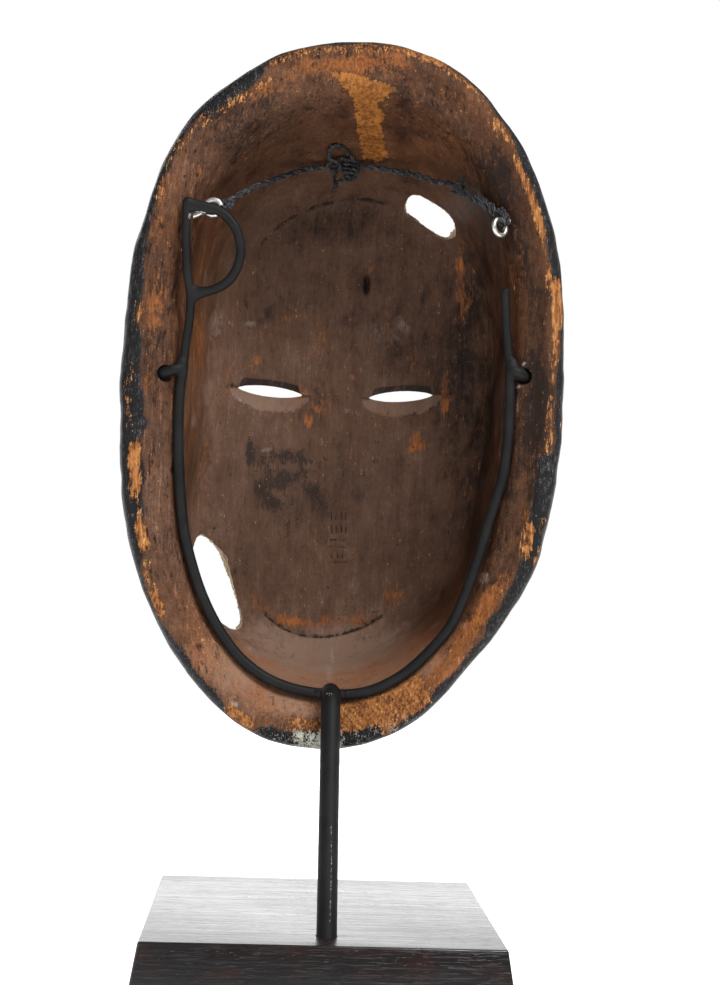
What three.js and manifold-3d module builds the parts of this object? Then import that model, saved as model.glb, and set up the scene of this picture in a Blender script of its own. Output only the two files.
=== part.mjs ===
// A carved wooden face mask, hollow behind, held on a steel cradle above a flared hardwood base.
// Millimetres, +Z up, origin at the centre of the base's underside. The face looks along -Y.
import * as THREE from 'three';
import { mergeVertices } from 'three/addons/utils/BufferGeometryUtils.js';
import Module from 'manifold-3d';

const wasm = await Module();
wasm.setup();

// Base block and the socket for the stem
const baseTopSide = 165;
const baseBottomSide = 177;
const baseHeight = 38;
const baseEdge = 1.2;
const socketDepth = 13;
const fitGap = 0.3;

// Stem: leans towards the mask, then turns level to meet the cradle
const stemRadius = 4.75;
const stemFootX = -1.75;
const stemFootY = 61.4;
const stemLean = 0.5;
const stemElbowRadius = 8;
const stemTopZ = 144;

// Steel rods of the cradle
const cradleRadius = 2.4;
const armRadius = 2.0;
const loopRadius = 2.3;
const pinRadius = 2.3;

// Mask placing and rim
const maskX = -2.4;
const maskZ = 292;
const crestY = 8;
const crestInset = 8;
const girthY = -1;

// Radii from the mask's axis every 20 degrees, from +X towards +Z, and the width of the rim's slope
const rimRadii = [110.2, 115.4, 132.4, 158.2, 175, 177.6, 159.4, 134.6, 117,
  111, 115.6, 129.2, 145.2, 170.4, 174.6, 153.8, 131.2, 115.6];
const footRadii = [67, 71, 86, 110, 121, 124, 119, 101, 87,
  81, 82, 93, 113, 129, 132, 124, 98, 75];
const floorRadii = [55, 58, 71, 97, 113, 119, 112, 94, 82,
  77.5, 72.6, 79, 98, 118.5, 123, 102, 71, 58.5];
const bandWidths = [26.3, 26, 25, 24, 24, 24, 24, 23, 23,
  23.8, 24, 26, 17.5, 21, 23, 23.4, 26.5, 27];

// Depths of the hollow and of the front
const shoulderY = -0.5;
const footY = -78;
const floorEdgeY = -88;
const floorCentreY = -97;
const lipY = -93.5;
const grooveY = -91;
const faceEdgeY = -96.5;
const faceCentreY = -112;

// Oval of the groove between the hair and the face
const faceHalfWidth = 86;
const faceTop = 134;
const faceBottom = 140;

// Hair rolls and ears
const rollCount = 3;
const rollHeight = 2.6;
const earZ = 6;
const earY = -58;
const earHalfHeight = 23;
const earHalfDepth = 15;
const earHeight = 6.5;

// Eye slits
const eyeX = 36.6;
const eyeZ = 8;
const eyeHalfLength = 18;
const eyeHalfHeight = 3;
const eyeTilt = 0.08;

// Screw eyes
const eyeletRadius = 3.8;
const eyeletWire = 1.05;
const shankLength = 13;
const shankHole = 1.45;

// Cord
const cordRadius = 1.6;

// Mesh fineness
const around = 64;
const faceRings = 15;

const wood = { color: 0x5a3a26, roughness: 0.7, metalness: 0 };
const darkWood = { color: 0x1d1210, roughness: 0.5, metalness: 0 };
const blackSteel = { color: 0x17181b, roughness: 0.45, metalness: 0.6 };
const zinc = { color: 0xc9ccd0, roughness: 0.25, metalness: 0.9 };
const blackFibre = { color: 0x1b1d20, roughness: 0.9, metalness: 0 };

const mix = (a, b, t) => a + (b - a) * t;
const bump = (x) => Math.exp(-x * x);
const smooth = (a, b, x) => {
  const t = Math.min(1, Math.max(0, (x - a) / (b - a)));
  return t * t * (3 - 2 * t);
};

// Catmull-Rom value between equally spaced numbers, on a closed ring
function ringValue(values, theta) {
  const n = values.length;
  const place = ((theta / (2 * Math.PI)) * n + n) % n;
  const i = Math.floor(place);
  const f = place - i;
  const [a, b, c, d] = [-1, 0, 1, 2].map((k) => values[(i + k + n) % n]);
  const slope = (c - a) * f;
  const square = (2 * a - 5 * b + 4 * c - d) * f * f;
  const cube = (-a + 3 * b - 3 * c + d) * f * f * f;
  return b + 0.5 * (slope + square + cube);
}

function toSolid(geometry) {
  const bare = geometry.clone();
  bare.deleteAttribute('normal');
  bare.deleteAttribute('uv');
  const merged = mergeVertices(bare, 1e-4);
  const solid = new wasm.Manifold(new wasm.Mesh({
    numProp: 3,
    vertProperties: new Float32Array(merged.attributes.position.array),
    triVerts: new Uint32Array(merged.index.array),
  }));
  return solid;
}

function toGeometry(solid) {
  const mesh = solid.getMesh();
  const geometry = new THREE.BufferGeometry();
  geometry.setAttribute('position', new THREE.BufferAttribute(new Float32Array(mesh.vertProperties), 3));
  geometry.setIndex(new THREE.BufferAttribute(new Uint32Array(mesh.triVerts), 1));
  geometry.computeVertexNormals();
  return geometry;
}

// A closed mesh over stacked rings of equal count, capped at each end. The quads are split to
// mirrored diagonals on the two sides, so a symmetric form stays symmetric.
function ringStack(rings, firstCap, lastCap) {
  const count = rings[0].length;
  const positions = rings.flat().concat([firstCap, lastCap]);
  const first = rings.length * count;
  const last = first + 1;
  const index = [];
  for (let k = 0; k < count; k += 1) {
    const next = (k + 1) % count;
    const mirrored = k >= count / 4 && k < (3 * count) / 4;
    index.push(first, next, k);
    for (let r = 0; r < rings.length - 1; r += 1) {
      const low = r * count;
      const high = low + count;
      if (mirrored) {
        index.push(low + k, low + next, high + k, low + next, high + next, high + k);
      } else {
        index.push(low + k, low + next, high + next, low + k, high + next, high + k);
      }
    }
    const end = (rings.length - 1) * count;
    index.push(last, end + k, end + next);
  }
  const geometry = new THREE.BufferGeometry();
  geometry.setAttribute('position', new THREE.Float32BufferAttribute(positions.flat(), 3));
  geometry.setIndex(index);
  return geometry;
}

function named(name, geometry, look) {
  const mesh = new THREE.Mesh(geometry, new THREE.MeshStandardMaterial(look));
  mesh.name = name;
  return mesh;
}

// Round rod along a route: a polygon of the given number of sides swept along a smooth curve
function rod(points, radius, sides, steps) {
  const section = [];
  for (let k = 0; k < sides; k += 1) {
    const turn = (2 * Math.PI * k) / sides;
    section.push(new THREE.Vector2(radius * Math.cos(turn), radius * Math.sin(turn)));
  }
  const route = new THREE.CatmullRomCurve3(points.map((p) => new THREE.Vector3(...p)), false, 'centripetal');
  return new THREE.ExtrudeGeometry(new THREE.Shape(section), { steps, extrudePath: route });
}

// Mask surface, in the mask's own frame: the axis runs along Y through the rim's centre

function faceOval(theta) {
  const height = Math.sin(theta) > 0 ? faceTop : faceBottom;
  return 1 / Math.hypot(Math.cos(theta) / faceHalfWidth, Math.sin(theta) / height);
}

// From the floor's centre out to the rim's crest, as radius and depth
function innerProfile(theta) {
  const rim = ringValue(rimRadii, theta);
  const foot = ringValue(footRadii, theta);
  const edge = ringValue(floorRadii, theta);
  const shoulder = rim - ringValue(bandWidths, theta);
  const dish = [0.3, 0.6, 0.85].map((s) => [edge * s, mix(floorCentreY, floorEdgeY, s * s)]);
  return [
    ...dish,
    [edge, floorEdgeY],
    [mix(edge, foot, 0.7), mix(floorEdgeY, footY, 0.45)],
    [foot + 2, footY],
    [mix(foot + 3, shoulder - 4, 0.3), -62],
    [mix(foot + 3, shoulder - 4, 0.65), -36],
    [shoulder - 4, -9],
    [shoulder, shoulderY],
    [mix(shoulder, rim - crestInset, 0.55), 4.6],
    [rim - crestInset, crestY],
  ];
}

// Outward swelling of the hair rolls, none below the ears
function rollSwell(theta, v) {
  const hair = smooth(-0.38, -0.2, Math.sin(theta));
  const wave = Math.sqrt(Math.abs(Math.sin(rollCount * Math.PI * v)));
  return hair * (rollHeight * wave - 0.6) * smooth(0, 0.12, v);
}

// Raised rim of an ear on the side wall, with a hollow inside it
function earSwell(y, z) {
  const q = Math.hypot((y - earY) / earHalfDepth, (z - earZ) / earHalfHeight);
  return earHeight * (bump((q - 0.75) / 0.3) + 0.35 * bump(q / 0.35));
}

// Hair or cheek side from the widest line forward to the lip of the groove
function sideProfile(theta, v) {
  const rim = ringValue(rimRadii, theta);
  const lip = faceOval(theta) + 5;
  const w = 1 - v;
  const nearRim = 3 * w * w * v;
  const nearLip = 3 * w * v * v;
  const radius = w * w * w * rim + nearRim * (rim - 1) + nearLip * mix(rim, lip, 0.42) + v * v * v * lip;
  const depth = w * w * w * girthY + nearRim * -36 + nearLip * -80 + v * v * v * lipY;
  const side = Math.abs(Math.cos(theta)) > 0.8 ? earSwell(depth, radius * Math.sin(theta)) : 0;
  const swell = rollSwell(theta, v) + side * smooth(0, 0.3, v);
  return [radius + swell * mix(1, 0.5, v), depth - swell * 0.8 * v];
}

// Height of the carved features above the plain dome of the face
function faceRelief(x, z) {
  const side = Math.abs(x);
  const bridge = smooth(26, 6, z) * smooth(-48, -40, z);
  const noseHeight = mix(5, 19, smooth(14, -36, z)) * bridge;
  const noseWidth = mix(6, 10, smooth(8, -36, z));
  const nose = noseHeight * Math.exp(-((side / noseWidth) ** 2.6));
  const nostrils = 7 * bump((side - 9) / 6) * bump((z + 38) / 8);
  const socket = -4 * bump((side - eyeX) / 26) * bump((z - eyeZ) / 16);
  const lids = 7 * bump((side - eyeX) / 20) * bump((z - eyeZ) / 8);
  const browLine = 33 - 0.006 * (side - 34) ** 2;
  const brow = 4 * bump((z - browLine) / 6) * smooth(6, 18, side) * smooth(68, 52, side);
  const lips = 8.5 * bump(side / 19) * bump((z + 72) / 9);
  const chin = 6 * bump(side / 24) * bump((z + 108) / 17);
  const cheeks = 5 * bump((side - 46) / 22) * bump((z + 36) / 30);
  const forehead = 7 * bump(side / 56) * bump((z - 80) / 38);
  const mark = 3 * bump(side / 4.6) * smooth(42, 52, z) * smooth(108, 98, z);
  return nose + nostrils + socket + lids + brow + lips + chin + cheeks + forehead + mark;
}

function facePoint(theta, s) {
  const radius = (faceOval(theta) - 4.5) * s;
  const x = radius * Math.cos(theta);
  const z = radius * Math.sin(theta);
  const dome = mix(faceCentreY, faceEdgeY, s ** 2.6);
  return [x, dome - faceRelief(x, z) * smooth(1, 0.88, s), z];
}

function outerRing(theta, radius, y) {
  return [radius * Math.cos(theta), y, radius * Math.sin(theta)];
}

function maskShell() {
  const columns = [];
  for (let k = 0; k < around; k += 1) {
    const theta = (2 * Math.PI * k) / around;
    const rim = ringValue(rimRadii, theta);
    const column = innerProfile(theta).map(([r, y]) => outerRing(theta, r, y));
    column.push(outerRing(theta, rim - 2.4, 6));
    for (let j = 0; j <= 4 * rollCount; j += 1) {
      const [r, y] = sideProfile(theta, j / (4 * rollCount));
      column.push(outerRing(theta, r, y));
    }
    column.push(outerRing(theta, faceOval(theta), grooveY));
    for (let j = 0; j < faceRings; j += 1) {
      column.push(facePoint(theta, 1 - j / faceRings));
    }
    columns.push(column);
  }
  const rings = columns[0].map((_, r) => columns.map((column) => column[r]));
  return ringStack(rings, [0, floorCentreY, 0], facePoint(0, 0));
}

// Cutter between a near outline and a far one, each a list of x and z
function loftCutter(near, nearY, far, farY) {
  const nearRing = near.map(([x, z]) => [x, nearY, z]);
  const farRing = far.map(([x, z]) => [x, farY, z]);
  const middle = (ring) => ring[0].map((_, i) => ring.reduce((sum, p) => sum + p[i], 0) / ring.length);
  const geometry = ringStack([nearRing, farRing], middle(nearRing), middle(farRing));
  const solid = toSolid(geometry);
  return solid.volume() < 0 ? toSolid(flipped(geometry)) : solid;
}

function flipped(geometry) {
  const turned = geometry.clone();
  const index = turned.index.array;
  for (let i = 0; i < index.length; i += 3) {
    [index[i + 1], index[i + 2]] = [index[i + 2], index[i + 1]];
  }
  return turned;
}

// Narrow almond outline of an eye slit, its outer tip a little higher
function slitOutline(side) {
  const outline = [];
  const points = 14;
  for (let k = 0; k < points; k += 1) {
    const turn = (2 * Math.PI * k) / points;
    const along = eyeHalfLength * Math.cos(turn);
    const up = eyeHalfHeight * Math.sign(Math.sin(turn)) * Math.abs(Math.sin(turn)) ** 1.4;
    outline.push([side * eyeX + along, eyeZ + up + side * eyeTilt * along]);
  }
  return outline;
}

// Each slit rises a little on its way to the front
function slitCutter(side) {
  const near = slitOutline(side);
  const rise = 6;
  const far = near.map(([x, z]) => [x, z + rise]);
  return loftCutter(near, -70, far, -130);
}

// Outlines of the two breaks at the depth of the wall's foot
const upperBreak = [[-34.4, 118], [-41.5, 120], [-49, 116], [-57, 111], [-62.5, 102],
  [-60, 97.6], [-53, 99.8], [-42, 106.8], [-35.5, 110]];
const lowerBreak = [[72.5, -71], [66.5, -73], [60, -81], [54.5, -95], [48.5, -109],
  [47.3, -119], [52, -120.8], [59.5, -116], [66, -106.5], [72, -92], [74.6, -78]];

function breakCutter(outline) {
  const scaled = (factor, lift) => outline.map(([x, z]) => [x * factor, z * factor + lift]);
  return loftCutter(scaled(0.975, -1.5), -55, scaled(1.035, 3), -125);
}

// Round hole through the wall, from a point along a direction
function boreCutter(start, direction, radius, length) {
  const geometry = new THREE.CylinderGeometry(radius, radius, length, 14);
  geometry.translate(0, length / 2, 0);
  const turn = new THREE.Quaternion().setFromUnitVectors(new THREE.Vector3(0, 1, 0), direction);
  geometry.applyQuaternion(turn);
  geometry.translate(start.x, start.y, start.z);
  return toSolid(geometry);
}

// The two pin holes start on the rim's inner slope and come out at the sides
const pinHoleRadius = 4.3;
const pinHoles = [
  { start: new THREE.Vector3(82.1, 8.6, 7.4), direction: new THREE.Vector3(0.64, -0.77, 0).normalize() },
  { start: new THREE.Vector3(-84.9, 8.6, 12.9), direction: new THREE.Vector3(-0.64, -0.77, 0).normalize() },
];

// Screw eyes: ring centre and the direction of the shank, in the row's frame
const screwEyes = [
  { name: 'screw_eye_left', centre: [65.5, -5, 384.7], shank: [0.69, -0.08, 0.72] },
  { name: 'screw_eye_right', centre: [-78.5, 4, 379.2], shank: [-0.78, -0.25, 0.57] },
];

function shankCutter({ centre, shank }) {
  const direction = new THREE.Vector3(...shank).normalize();
  const start = new THREE.Vector3(...centre).sub(new THREE.Vector3(maskX, 0, maskZ));
  start.addScaledVector(direction, eyeletRadius + eyeletWire);
  return boreCutter(start, direction, shankHole, shankLength);
}

function makeMask() {
  let solid = toSolid(maskShell());
  const cutters = [
    slitCutter(1),
    slitCutter(-1),
    breakCutter(upperBreak),
    breakCutter(lowerBreak),
    ...pinHoles.map(({ start, direction }) => boreCutter(start, direction, pinHoleRadius, 60)),
    ...screwEyes.map(shankCutter),
  ];
  for (const cutter of cutters) {
    solid = solid.subtract(cutter);
  }
  const mesh = named('mask', toGeometry(solid), wood);
  mesh.position.set(maskX, 0, maskZ);
  return mesh;
}

// Stem route: straight lean from the socket, then a quarter bend to level
function stemRoute() {
  const leanLength = Math.hypot(1, stemLean);
  const back = stemLean / leanLength;
  const up = 1 / leanLength;
  const turn = Math.atan2(up, back);
  const bendRise = stemElbowRadius * (1 - Math.cos(turn));
  const bendRun = stemElbowRadius * Math.sin(turn);
  const bendZ = stemTopZ - bendRise;
  const bendY = stemFootY - stemLean * (bendZ - baseHeight);
  const endY = cradleRadius + fitGap;
  const points = [];
  const footDrop = socketDepth - fitGap;
  points.push([stemFootX, stemFootY + back * footDrop, baseHeight - up * footDrop]);
  points.push([stemFootX, stemFootY - stemLean * 50, baseHeight + 50]);
  const bends = 5;
  for (let k = 0; k <= bends; k += 1) {
    const a = (turn * k) / bends;
    const run = stemElbowRadius * (Math.sin(turn) - Math.sin(turn - a));
    const rise = stemElbowRadius * (Math.cos(turn - a) - Math.cos(turn));
    points.push([stemFootX, bendY - run, bendZ + rise]);
  }
  if (bendY - bendRun > endY + 0.2) {
    points.push([stemFootX, endY, stemTopZ]);
  }
  return points;
}

function makeStem() {
  return named('stem', rod(stemRoute(), stemRadius, 12, 14), blackSteel);
}

function makeBase() {
  const half = (side) => [[-1, -1], [1, -1], [1, 1], [-1, 1]].map(([a, b]) => [a * side * 0.5, b * side * 0.5]);
  const level = (side, z) => half(side).map(([x, y]) => [x, y, z]);
  const flare = (baseBottomSide - baseTopSide) / baseHeight;
  const rings = [
    level(baseBottomSide, 0),
    level(baseTopSide + flare * baseEdge, baseHeight - baseEdge),
    level(baseTopSide - 2 * baseEdge, baseHeight),
  ];
  const block = toSolid(ringStack(rings, [0, 0, 0], [0, 0, baseHeight]));
  const lean = new THREE.Vector3(0, stemLean, -1).normalize();
  const above = 20;
  const start = new THREE.Vector3(stemFootX, stemFootY, baseHeight).addScaledVector(lean, -above);
  const socket = boreCutter(start, lean, stemRadius + fitGap + 0.1, above + socketDepth);
  return named('base', toGeometry(block.subtract(socket)), darkWood);
}

// U rod of the cradle, from the left joint down under the mask and up to the right joint
const cradleRoute = [[76.9, 303.5], [78.2, 290], [78.2, 271], [76.6, 246.7], [73.5, 222], [69.2, 206],
  [63.1, 189.7], [54.4, 173.7], [43.8, 160.3], [30.8, 150.8], [17.8, 145.8], [3.9, 143.6], [-9, 143.4],
  [-22.4, 146], [-37, 153.9], [-50.3, 166.2], [-60.2, 178.9], [-67, 194.1], [-72.9, 212.7], [-77.4, 229.6],
  [-81.4, 243.5], [-84.2, 254], [-85.8, 267], [-86.7, 281], [-86.6, 298.5], [-86.2, 309.5]];
const leftPin = [[76.9, 0.4, 302.6], [79.5, 1.8, 301.9], [82.3, 2.6, 301], [85.6, 1.6, 300],
  [88.6, -1.6, 299.3], [92, -6, 299]];
const rightPin = [[-86.3, 0.4, 308.6], [-87.9, 2.2, 307.4], [-90.2, 2.4, 306.2], [-93.2, 0.6, 305.2],
  [-96.4, -3, 304.9], [-99.2, -6.4, 304.9]];

function makeCradle() {
  let solid = toSolid(rod(cradleRoute.map(([x, z]) => [x, 0, z]), cradleRadius, 8, 46));
  for (const pin of [leftPin, rightPin]) {
    solid = solid.add(toSolid(rod(pin, pinRadius, 8, 6)));
  }
  return named('cradle_rod', toGeometry(solid), blackSteel);
}

// Thin arms stand on the cradle's ends, and the loop hangs from the left arm
const leftArmRoute = [[76.8, 0.3, 305.2], [76.1, 1.2, 315.4], [74.7, 2.2, 326.8], [74.4, 3.2, 338.2],
  [75.9, 4.8, 353.3], [77.8, 7, 382.3]];
const rightArmRoute = [[-86.1, 0, 310.9], [-84.8, 0, 320.6], [-83.6, 0, 331.7], [-82.5, 0, 348.5]];
const loopRoute = [[79.9, 7, 385], [68.1, 7, 385], [62.2, 7, 383], [57, 7, 379.3], [52.3, 6.8, 374],
  [49.1, 6.5, 367.7], [48.2, 6, 361.3], [49.3, 5.5, 354.4], [53.1, 5, 347.8], [59.1, 4.2, 342.7],
  [66.4, 3.6, 338.9], [71.6, 3.3, 337.3]];

// Ring and shank of one screw eye: the ring lies in the XZ plane and the shank runs along +Z
function makeScrewEye({ name, centre, shank }) {
  const ring = new THREE.TorusGeometry(eyeletRadius, eyeletWire, 6, 14);
  ring.rotateX(Math.PI / 2);
  const screw = new THREE.CylinderGeometry(eyeletWire, eyeletWire, shankLength - fitGap, 6);
  screw.rotateX(Math.PI / 2);
  screw.translate(0, 0, eyeletRadius + eyeletWire * 0.4 + (shankLength - fitGap) / 2);
  const solid = toSolid(ring).add(toSolid(screw));
  const mesh = named(name, toGeometry(solid), zinc);
  mesh.position.set(...centre);
  mesh.quaternion.setFromUnitVectors(new THREE.Vector3(0, 0, 1), new THREE.Vector3(...shank).normalize());
  return mesh;
}

// Cord route from the left screw eye to the right one, its crown against the roof of the hollow
const cordRoute = [[62.4, -7.2, 387.3], [56.3, -16, 391.8], [48.8, -27, 399.3],
  [41.4, -36, 404.8], [33.7, -44, 409.9], [25.4, -51, 414.9], [17.4, -56, 418.8], [7.8, -60, 421.1],
  [-0.9, -61.5, 421.8], [-9.5, -60.5, 422], [-19.5, -57, 421.3], [-29.4, -51, 418.2], [-40.1, -43, 414.7],
  [-48, -35, 410.2], [-55.7, -27, 407.2], [-61.3, -20, 403.5], [-66.6, -13, 398.3], [-73.7, -4, 392.5],
  [-78, 2.4, 384.9]];
const knotCentre = [-0.9, -61, 420.6];
const knotRadii = [7, 4, 4.6];
const smallKnotCentre = [-60.8, -20.5, 403.2];
const smallKnotRadii = [3.4, 2.8, 3.4];

function knotSolid(centre, radii) {
  const ball = new THREE.SphereGeometry(1, 8, 6);
  ball.scale(...radii);
  ball.translate(...centre);
  return toSolid(ball);
}

function makeCord() {
  let solid = toSolid(rod(cordRoute, cordRadius, 8, 28));
  solid = solid.add(knotSolid(knotCentre, knotRadii));
  solid = solid.add(knotSolid(smallKnotCentre, smallKnotRadii));
  return named('tie_cord', toGeometry(solid), blackFibre);
}

const model = new THREE.Group();
const mount = new THREE.Group();
mount.add(
  makeBase(),
  makeStem(),
  makeCradle(),
  named('arm_left', rod(leftArmRoute, armRadius, 8, 12), blackSteel),
  named('loop_rod', rod(loopRoute, loopRadius, 8, 24), blackSteel),
  named('arm_right', rod(rightArmRoute, armRadius, 8, 6), blackSteel),
);
const carving = new THREE.Group();
carving.add(makeMask(), ...screwEyes.map(makeScrewEye), makeCord());
model.add(mount, carving);

export default model;
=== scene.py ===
import math
import random

import bpy
import numpy as np
from mathutils import Matrix, Vector, kdtree, noise


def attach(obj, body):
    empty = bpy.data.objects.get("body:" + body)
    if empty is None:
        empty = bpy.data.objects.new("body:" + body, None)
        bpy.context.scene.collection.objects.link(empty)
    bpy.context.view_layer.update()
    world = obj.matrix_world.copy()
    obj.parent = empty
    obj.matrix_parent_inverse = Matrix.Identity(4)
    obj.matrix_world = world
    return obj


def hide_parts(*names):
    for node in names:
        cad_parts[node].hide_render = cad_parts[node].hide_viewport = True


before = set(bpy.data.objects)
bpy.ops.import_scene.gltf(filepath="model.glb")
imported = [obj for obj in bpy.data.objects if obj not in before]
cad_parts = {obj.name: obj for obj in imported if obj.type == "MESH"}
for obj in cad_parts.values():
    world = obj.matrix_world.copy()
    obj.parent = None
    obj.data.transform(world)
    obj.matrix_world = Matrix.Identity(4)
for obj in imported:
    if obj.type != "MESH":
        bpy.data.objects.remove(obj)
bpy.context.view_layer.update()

mm = 0.001


# Small helpers

def clearSelection():
    bpy.ops.object.select_all(action="DESELECT")


def pick(piece):
    clearSelection()
    piece.select_set(True)
    bpy.context.view_layer.objects.active = piece


def applyModifier(piece, kind, **settings):
    pick(piece)
    modifier = piece.modifiers.new(kind.title(), kind)
    for name, value in settings.items():
        setattr(modifier, name, value)
    bpy.ops.object.modifier_apply(modifier=modifier.name)


def settlePlace(piece):
    pick(piece)
    bpy.ops.object.transform_apply(location=True, rotation=True, scale=True)


def turnAlong(piece, way, axis="Z"):
    piece.rotation_mode = "QUATERNION"
    piece.rotation_quaternion = way.to_track_quat(axis, "Y")


# Cylinder that bores a hole along a way; all in mm
def boreCutter(middle, way, radius, length, sides):
    bpy.ops.mesh.primitive_cylinder_add(vertices=sides, radius=radius * mm, depth=length * mm,
                                        location=middle * mm)
    cutter = bpy.context.object
    turnAlong(cutter, way)
    settlePlace(cutter)
    return cutter


def cutAway(piece, cutter, **settings):
    applyModifier(piece, "BOOLEAN", operation="DIFFERENCE", object=cutter, **settings)
    bpy.data.objects.remove(cutter)


def joinPieces(pieces, name):
    clearSelection()
    for piece in pieces:
        piece.select_set(True)
    bpy.context.view_layer.objects.active = pieces[0]
    bpy.ops.object.join()
    joined = bpy.context.object
    joined.name = name
    return joined


# Volume in ml inside a closed piece, below 0 where its faces point inwards
def volumeInside(piece):
    points = meshPoints(piece) * 100
    volume = 0.0
    for face in piece.data.polygons:
        corners = points[list(face.vertices)]
        volume += float((np.cross(corners[1:-1], corners[2:]) @ corners[0]).sum()) / 6
    return volume


# Turns the faces of a closed piece outwards, told by its volume
def faceOutwards(piece):
    if volumeInside(piece) < 0:
        pick(piece)
        bpy.ops.object.mode_set(mode="EDIT")
        bpy.ops.mesh.select_all(action="SELECT")
        bpy.ops.mesh.flip_normals()
        bpy.ops.object.mode_set(mode="OBJECT")


# Leaves the piece in edit mode with just these faces selected
def selectFaces(piece, wanted):
    pick(piece)
    bpy.ops.object.mode_set(mode="EDIT")
    bpy.ops.mesh.select_all(action="DESELECT")
    bpy.ops.mesh.select_mode(type="FACE")
    bpy.ops.object.mode_set(mode="OBJECT")
    for face in piece.data.polygons:
        face.select = bool(wanted(face))
    bpy.ops.object.mode_set(mode="EDIT")


def smoothShade(piece, degrees):
    pick(piece)
    bpy.ops.object.shade_smooth_by_angle(angle=math.radians(degrees))


def meshPoints(piece):
    flat = np.zeros(len(piece.data.vertices) * 3, np.float32)
    piece.data.vertices.foreach_get("co", flat)
    return flat.reshape(-1, 3).astype(float)


def setMeshPoints(piece, points):
    piece.data.vertices.foreach_set("co", np.asarray(points, np.float32).ravel())
    piece.data.update()


def smoothStep(low, high, value):
    t = np.clip((value - low) / (high - low), 0, 1)
    return t * t * (3 - 2 * t)


# 1 between the two middle bounds, falling smoothly to 0 at the outer two
def between(value, start, full, wane, end):
    return smoothStep(start, full, value) * smoothStep(end, wane, value)


def bump(value):
    return np.exp(-np.square(value))


def mix(a, b, t):
    return a + (b - a) * t


# Smooth curve through the given points, sampled at about the given step (all in mm)
def smoothRoute(points, step):
    given = [np.array(p, float) for p in points]
    ends = [2 * given[0] - given[1]] + given + [2 * given[-1] - given[-2]]
    route = []
    for a, b, c, d in zip(ends, ends[1:], ends[2:], ends[3:]):
        ta = 0.0
        tb = ta + max(np.linalg.norm(b - a), 1e-6) ** 0.5
        tc = tb + max(np.linalg.norm(c - b), 1e-6) ** 0.5
        td = tc + max(np.linalg.norm(d - c), 1e-6) ** 0.5
        count = max(2, int(round(np.linalg.norm(c - b) / step)))
        for k in range(count):
            t = tb + (tc - tb) * k / count
            ab = (tb - t) / (tb - ta) * a + (t - ta) / (tb - ta) * b
            bc = (tc - t) / (tc - tb) * b + (t - tb) / (tc - tb) * c
            cd = (td - t) / (td - tc) * c + (t - tc) / (td - tc) * d
            low = (tc - t) / (tc - ta) * ab + (t - ta) / (tc - ta) * bc
            high = (td - t) / (td - tb) * bc + (t - tb) / (td - tb) * cd
            route.append((tc - t) / (tc - tb) * low + (t - tb) / (tc - tb) * high)
    route.append(given[-1])
    return np.array(route)


# Camera at the photograph's place

photoView = {
    "place": (27.5, 844.7, 204.0),
    "forward": (-0.0479, -0.9977, 0.0470),
    "up": (0.0362, 0.0453, 0.9983),
    "focalPixels": 1699.3,
    "width": 720,
    "height": 985,
    "sensor": 36.0,
}


def viewAxes():
    forward = Vector(photoView["forward"]).normalized()
    right = forward.cross(Vector(photoView["up"])).normalized()
    return forward, right.cross(forward).normalized(), right


def addCamera():
    forward, up, right = viewAxes()
    bpy.ops.object.camera_add(location=Vector(photoView["place"]) * mm)
    camera = bpy.context.object
    camera.name = "photo_camera"
    camera.rotation_mode = "QUATERNION"
    camera.rotation_quaternion = Matrix((right, up, -forward)).transposed().to_quaternion()
    camera.data.sensor_width = photoView["sensor"]
    camera.data.lens = photoView["sensor"] * photoView["focalPixels"] / photoView["height"]
    camera.data.clip_start = 0.02
    camera.data.clip_end = 30
    bpy.context.scene.camera = camera


# Where points in mm fall in the photograph, in its pixels
def photoSpot(points):
    forward, up, right = (np.array(v) for v in viewAxes())
    away = np.atleast_2d(points) - np.array(photoView["place"])
    depth = away @ forward
    across = photoView["width"] / 2 + photoView["focalPixels"] * (away @ right) / depth
    down = photoView["height"] / 2 - photoView["focalPixels"] * (away @ up) / depth
    return across, down


# The point in mm that shows at a pixel of the photograph, at the given y
def pointAt(across, down, y):
    forward, up, right = (np.array(v) for v in viewAxes())
    ray = forward + right * (across - photoView["width"] / 2) / photoView["focalPixels"]
    ray = ray - up * (down - photoView["height"] / 2) / photoView["focalPixels"]
    start = np.array(photoView["place"])
    return start + ray * (y - start[1]) / ray[1]


addCamera()
print("camera placed")


# Tie cord: two twisted plies, its knots, its hitches on the screw eyes and its frayed ends

cordSize = {
    "radius": 1.6,
    "swollen": 1.08,
    "pitch": 15,
    "sides": 24,
    "step": 0.5,
    "route": [[62.4, -7.2, 387.3], [56.3, -16, 391.8], [48.8, -27, 399.3],
              [41.4, -36, 404.8], [33.7, -44, 409.9], [25.4, -51, 414.9], [17.4, -56, 418.8],
              [7.8, -60, 421.1], [-0.9, -61.5, 421.8], [-9.5, -60.5, 422], [-19.5, -57, 421.3],
              [-29.4, -51, 418.2], [-40.1, -43, 414.7], [-48, -35, 410.2], [-55.7, -27, 407.2],
              [-61.3, -20, 403.5], [-66.6, -13, 398.3], [-73.7, -4, 392.5], [-78, 2.4, 384.9]],
}


# Shares of a strand's radius: the plies' offset and radius, its ends, its unevenness and where it thins
plySize = {"offset": 0.46, "radius": 0.56, "ends": 0.55, "uneven": 0.06, "thinFrom": 0.7}


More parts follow.
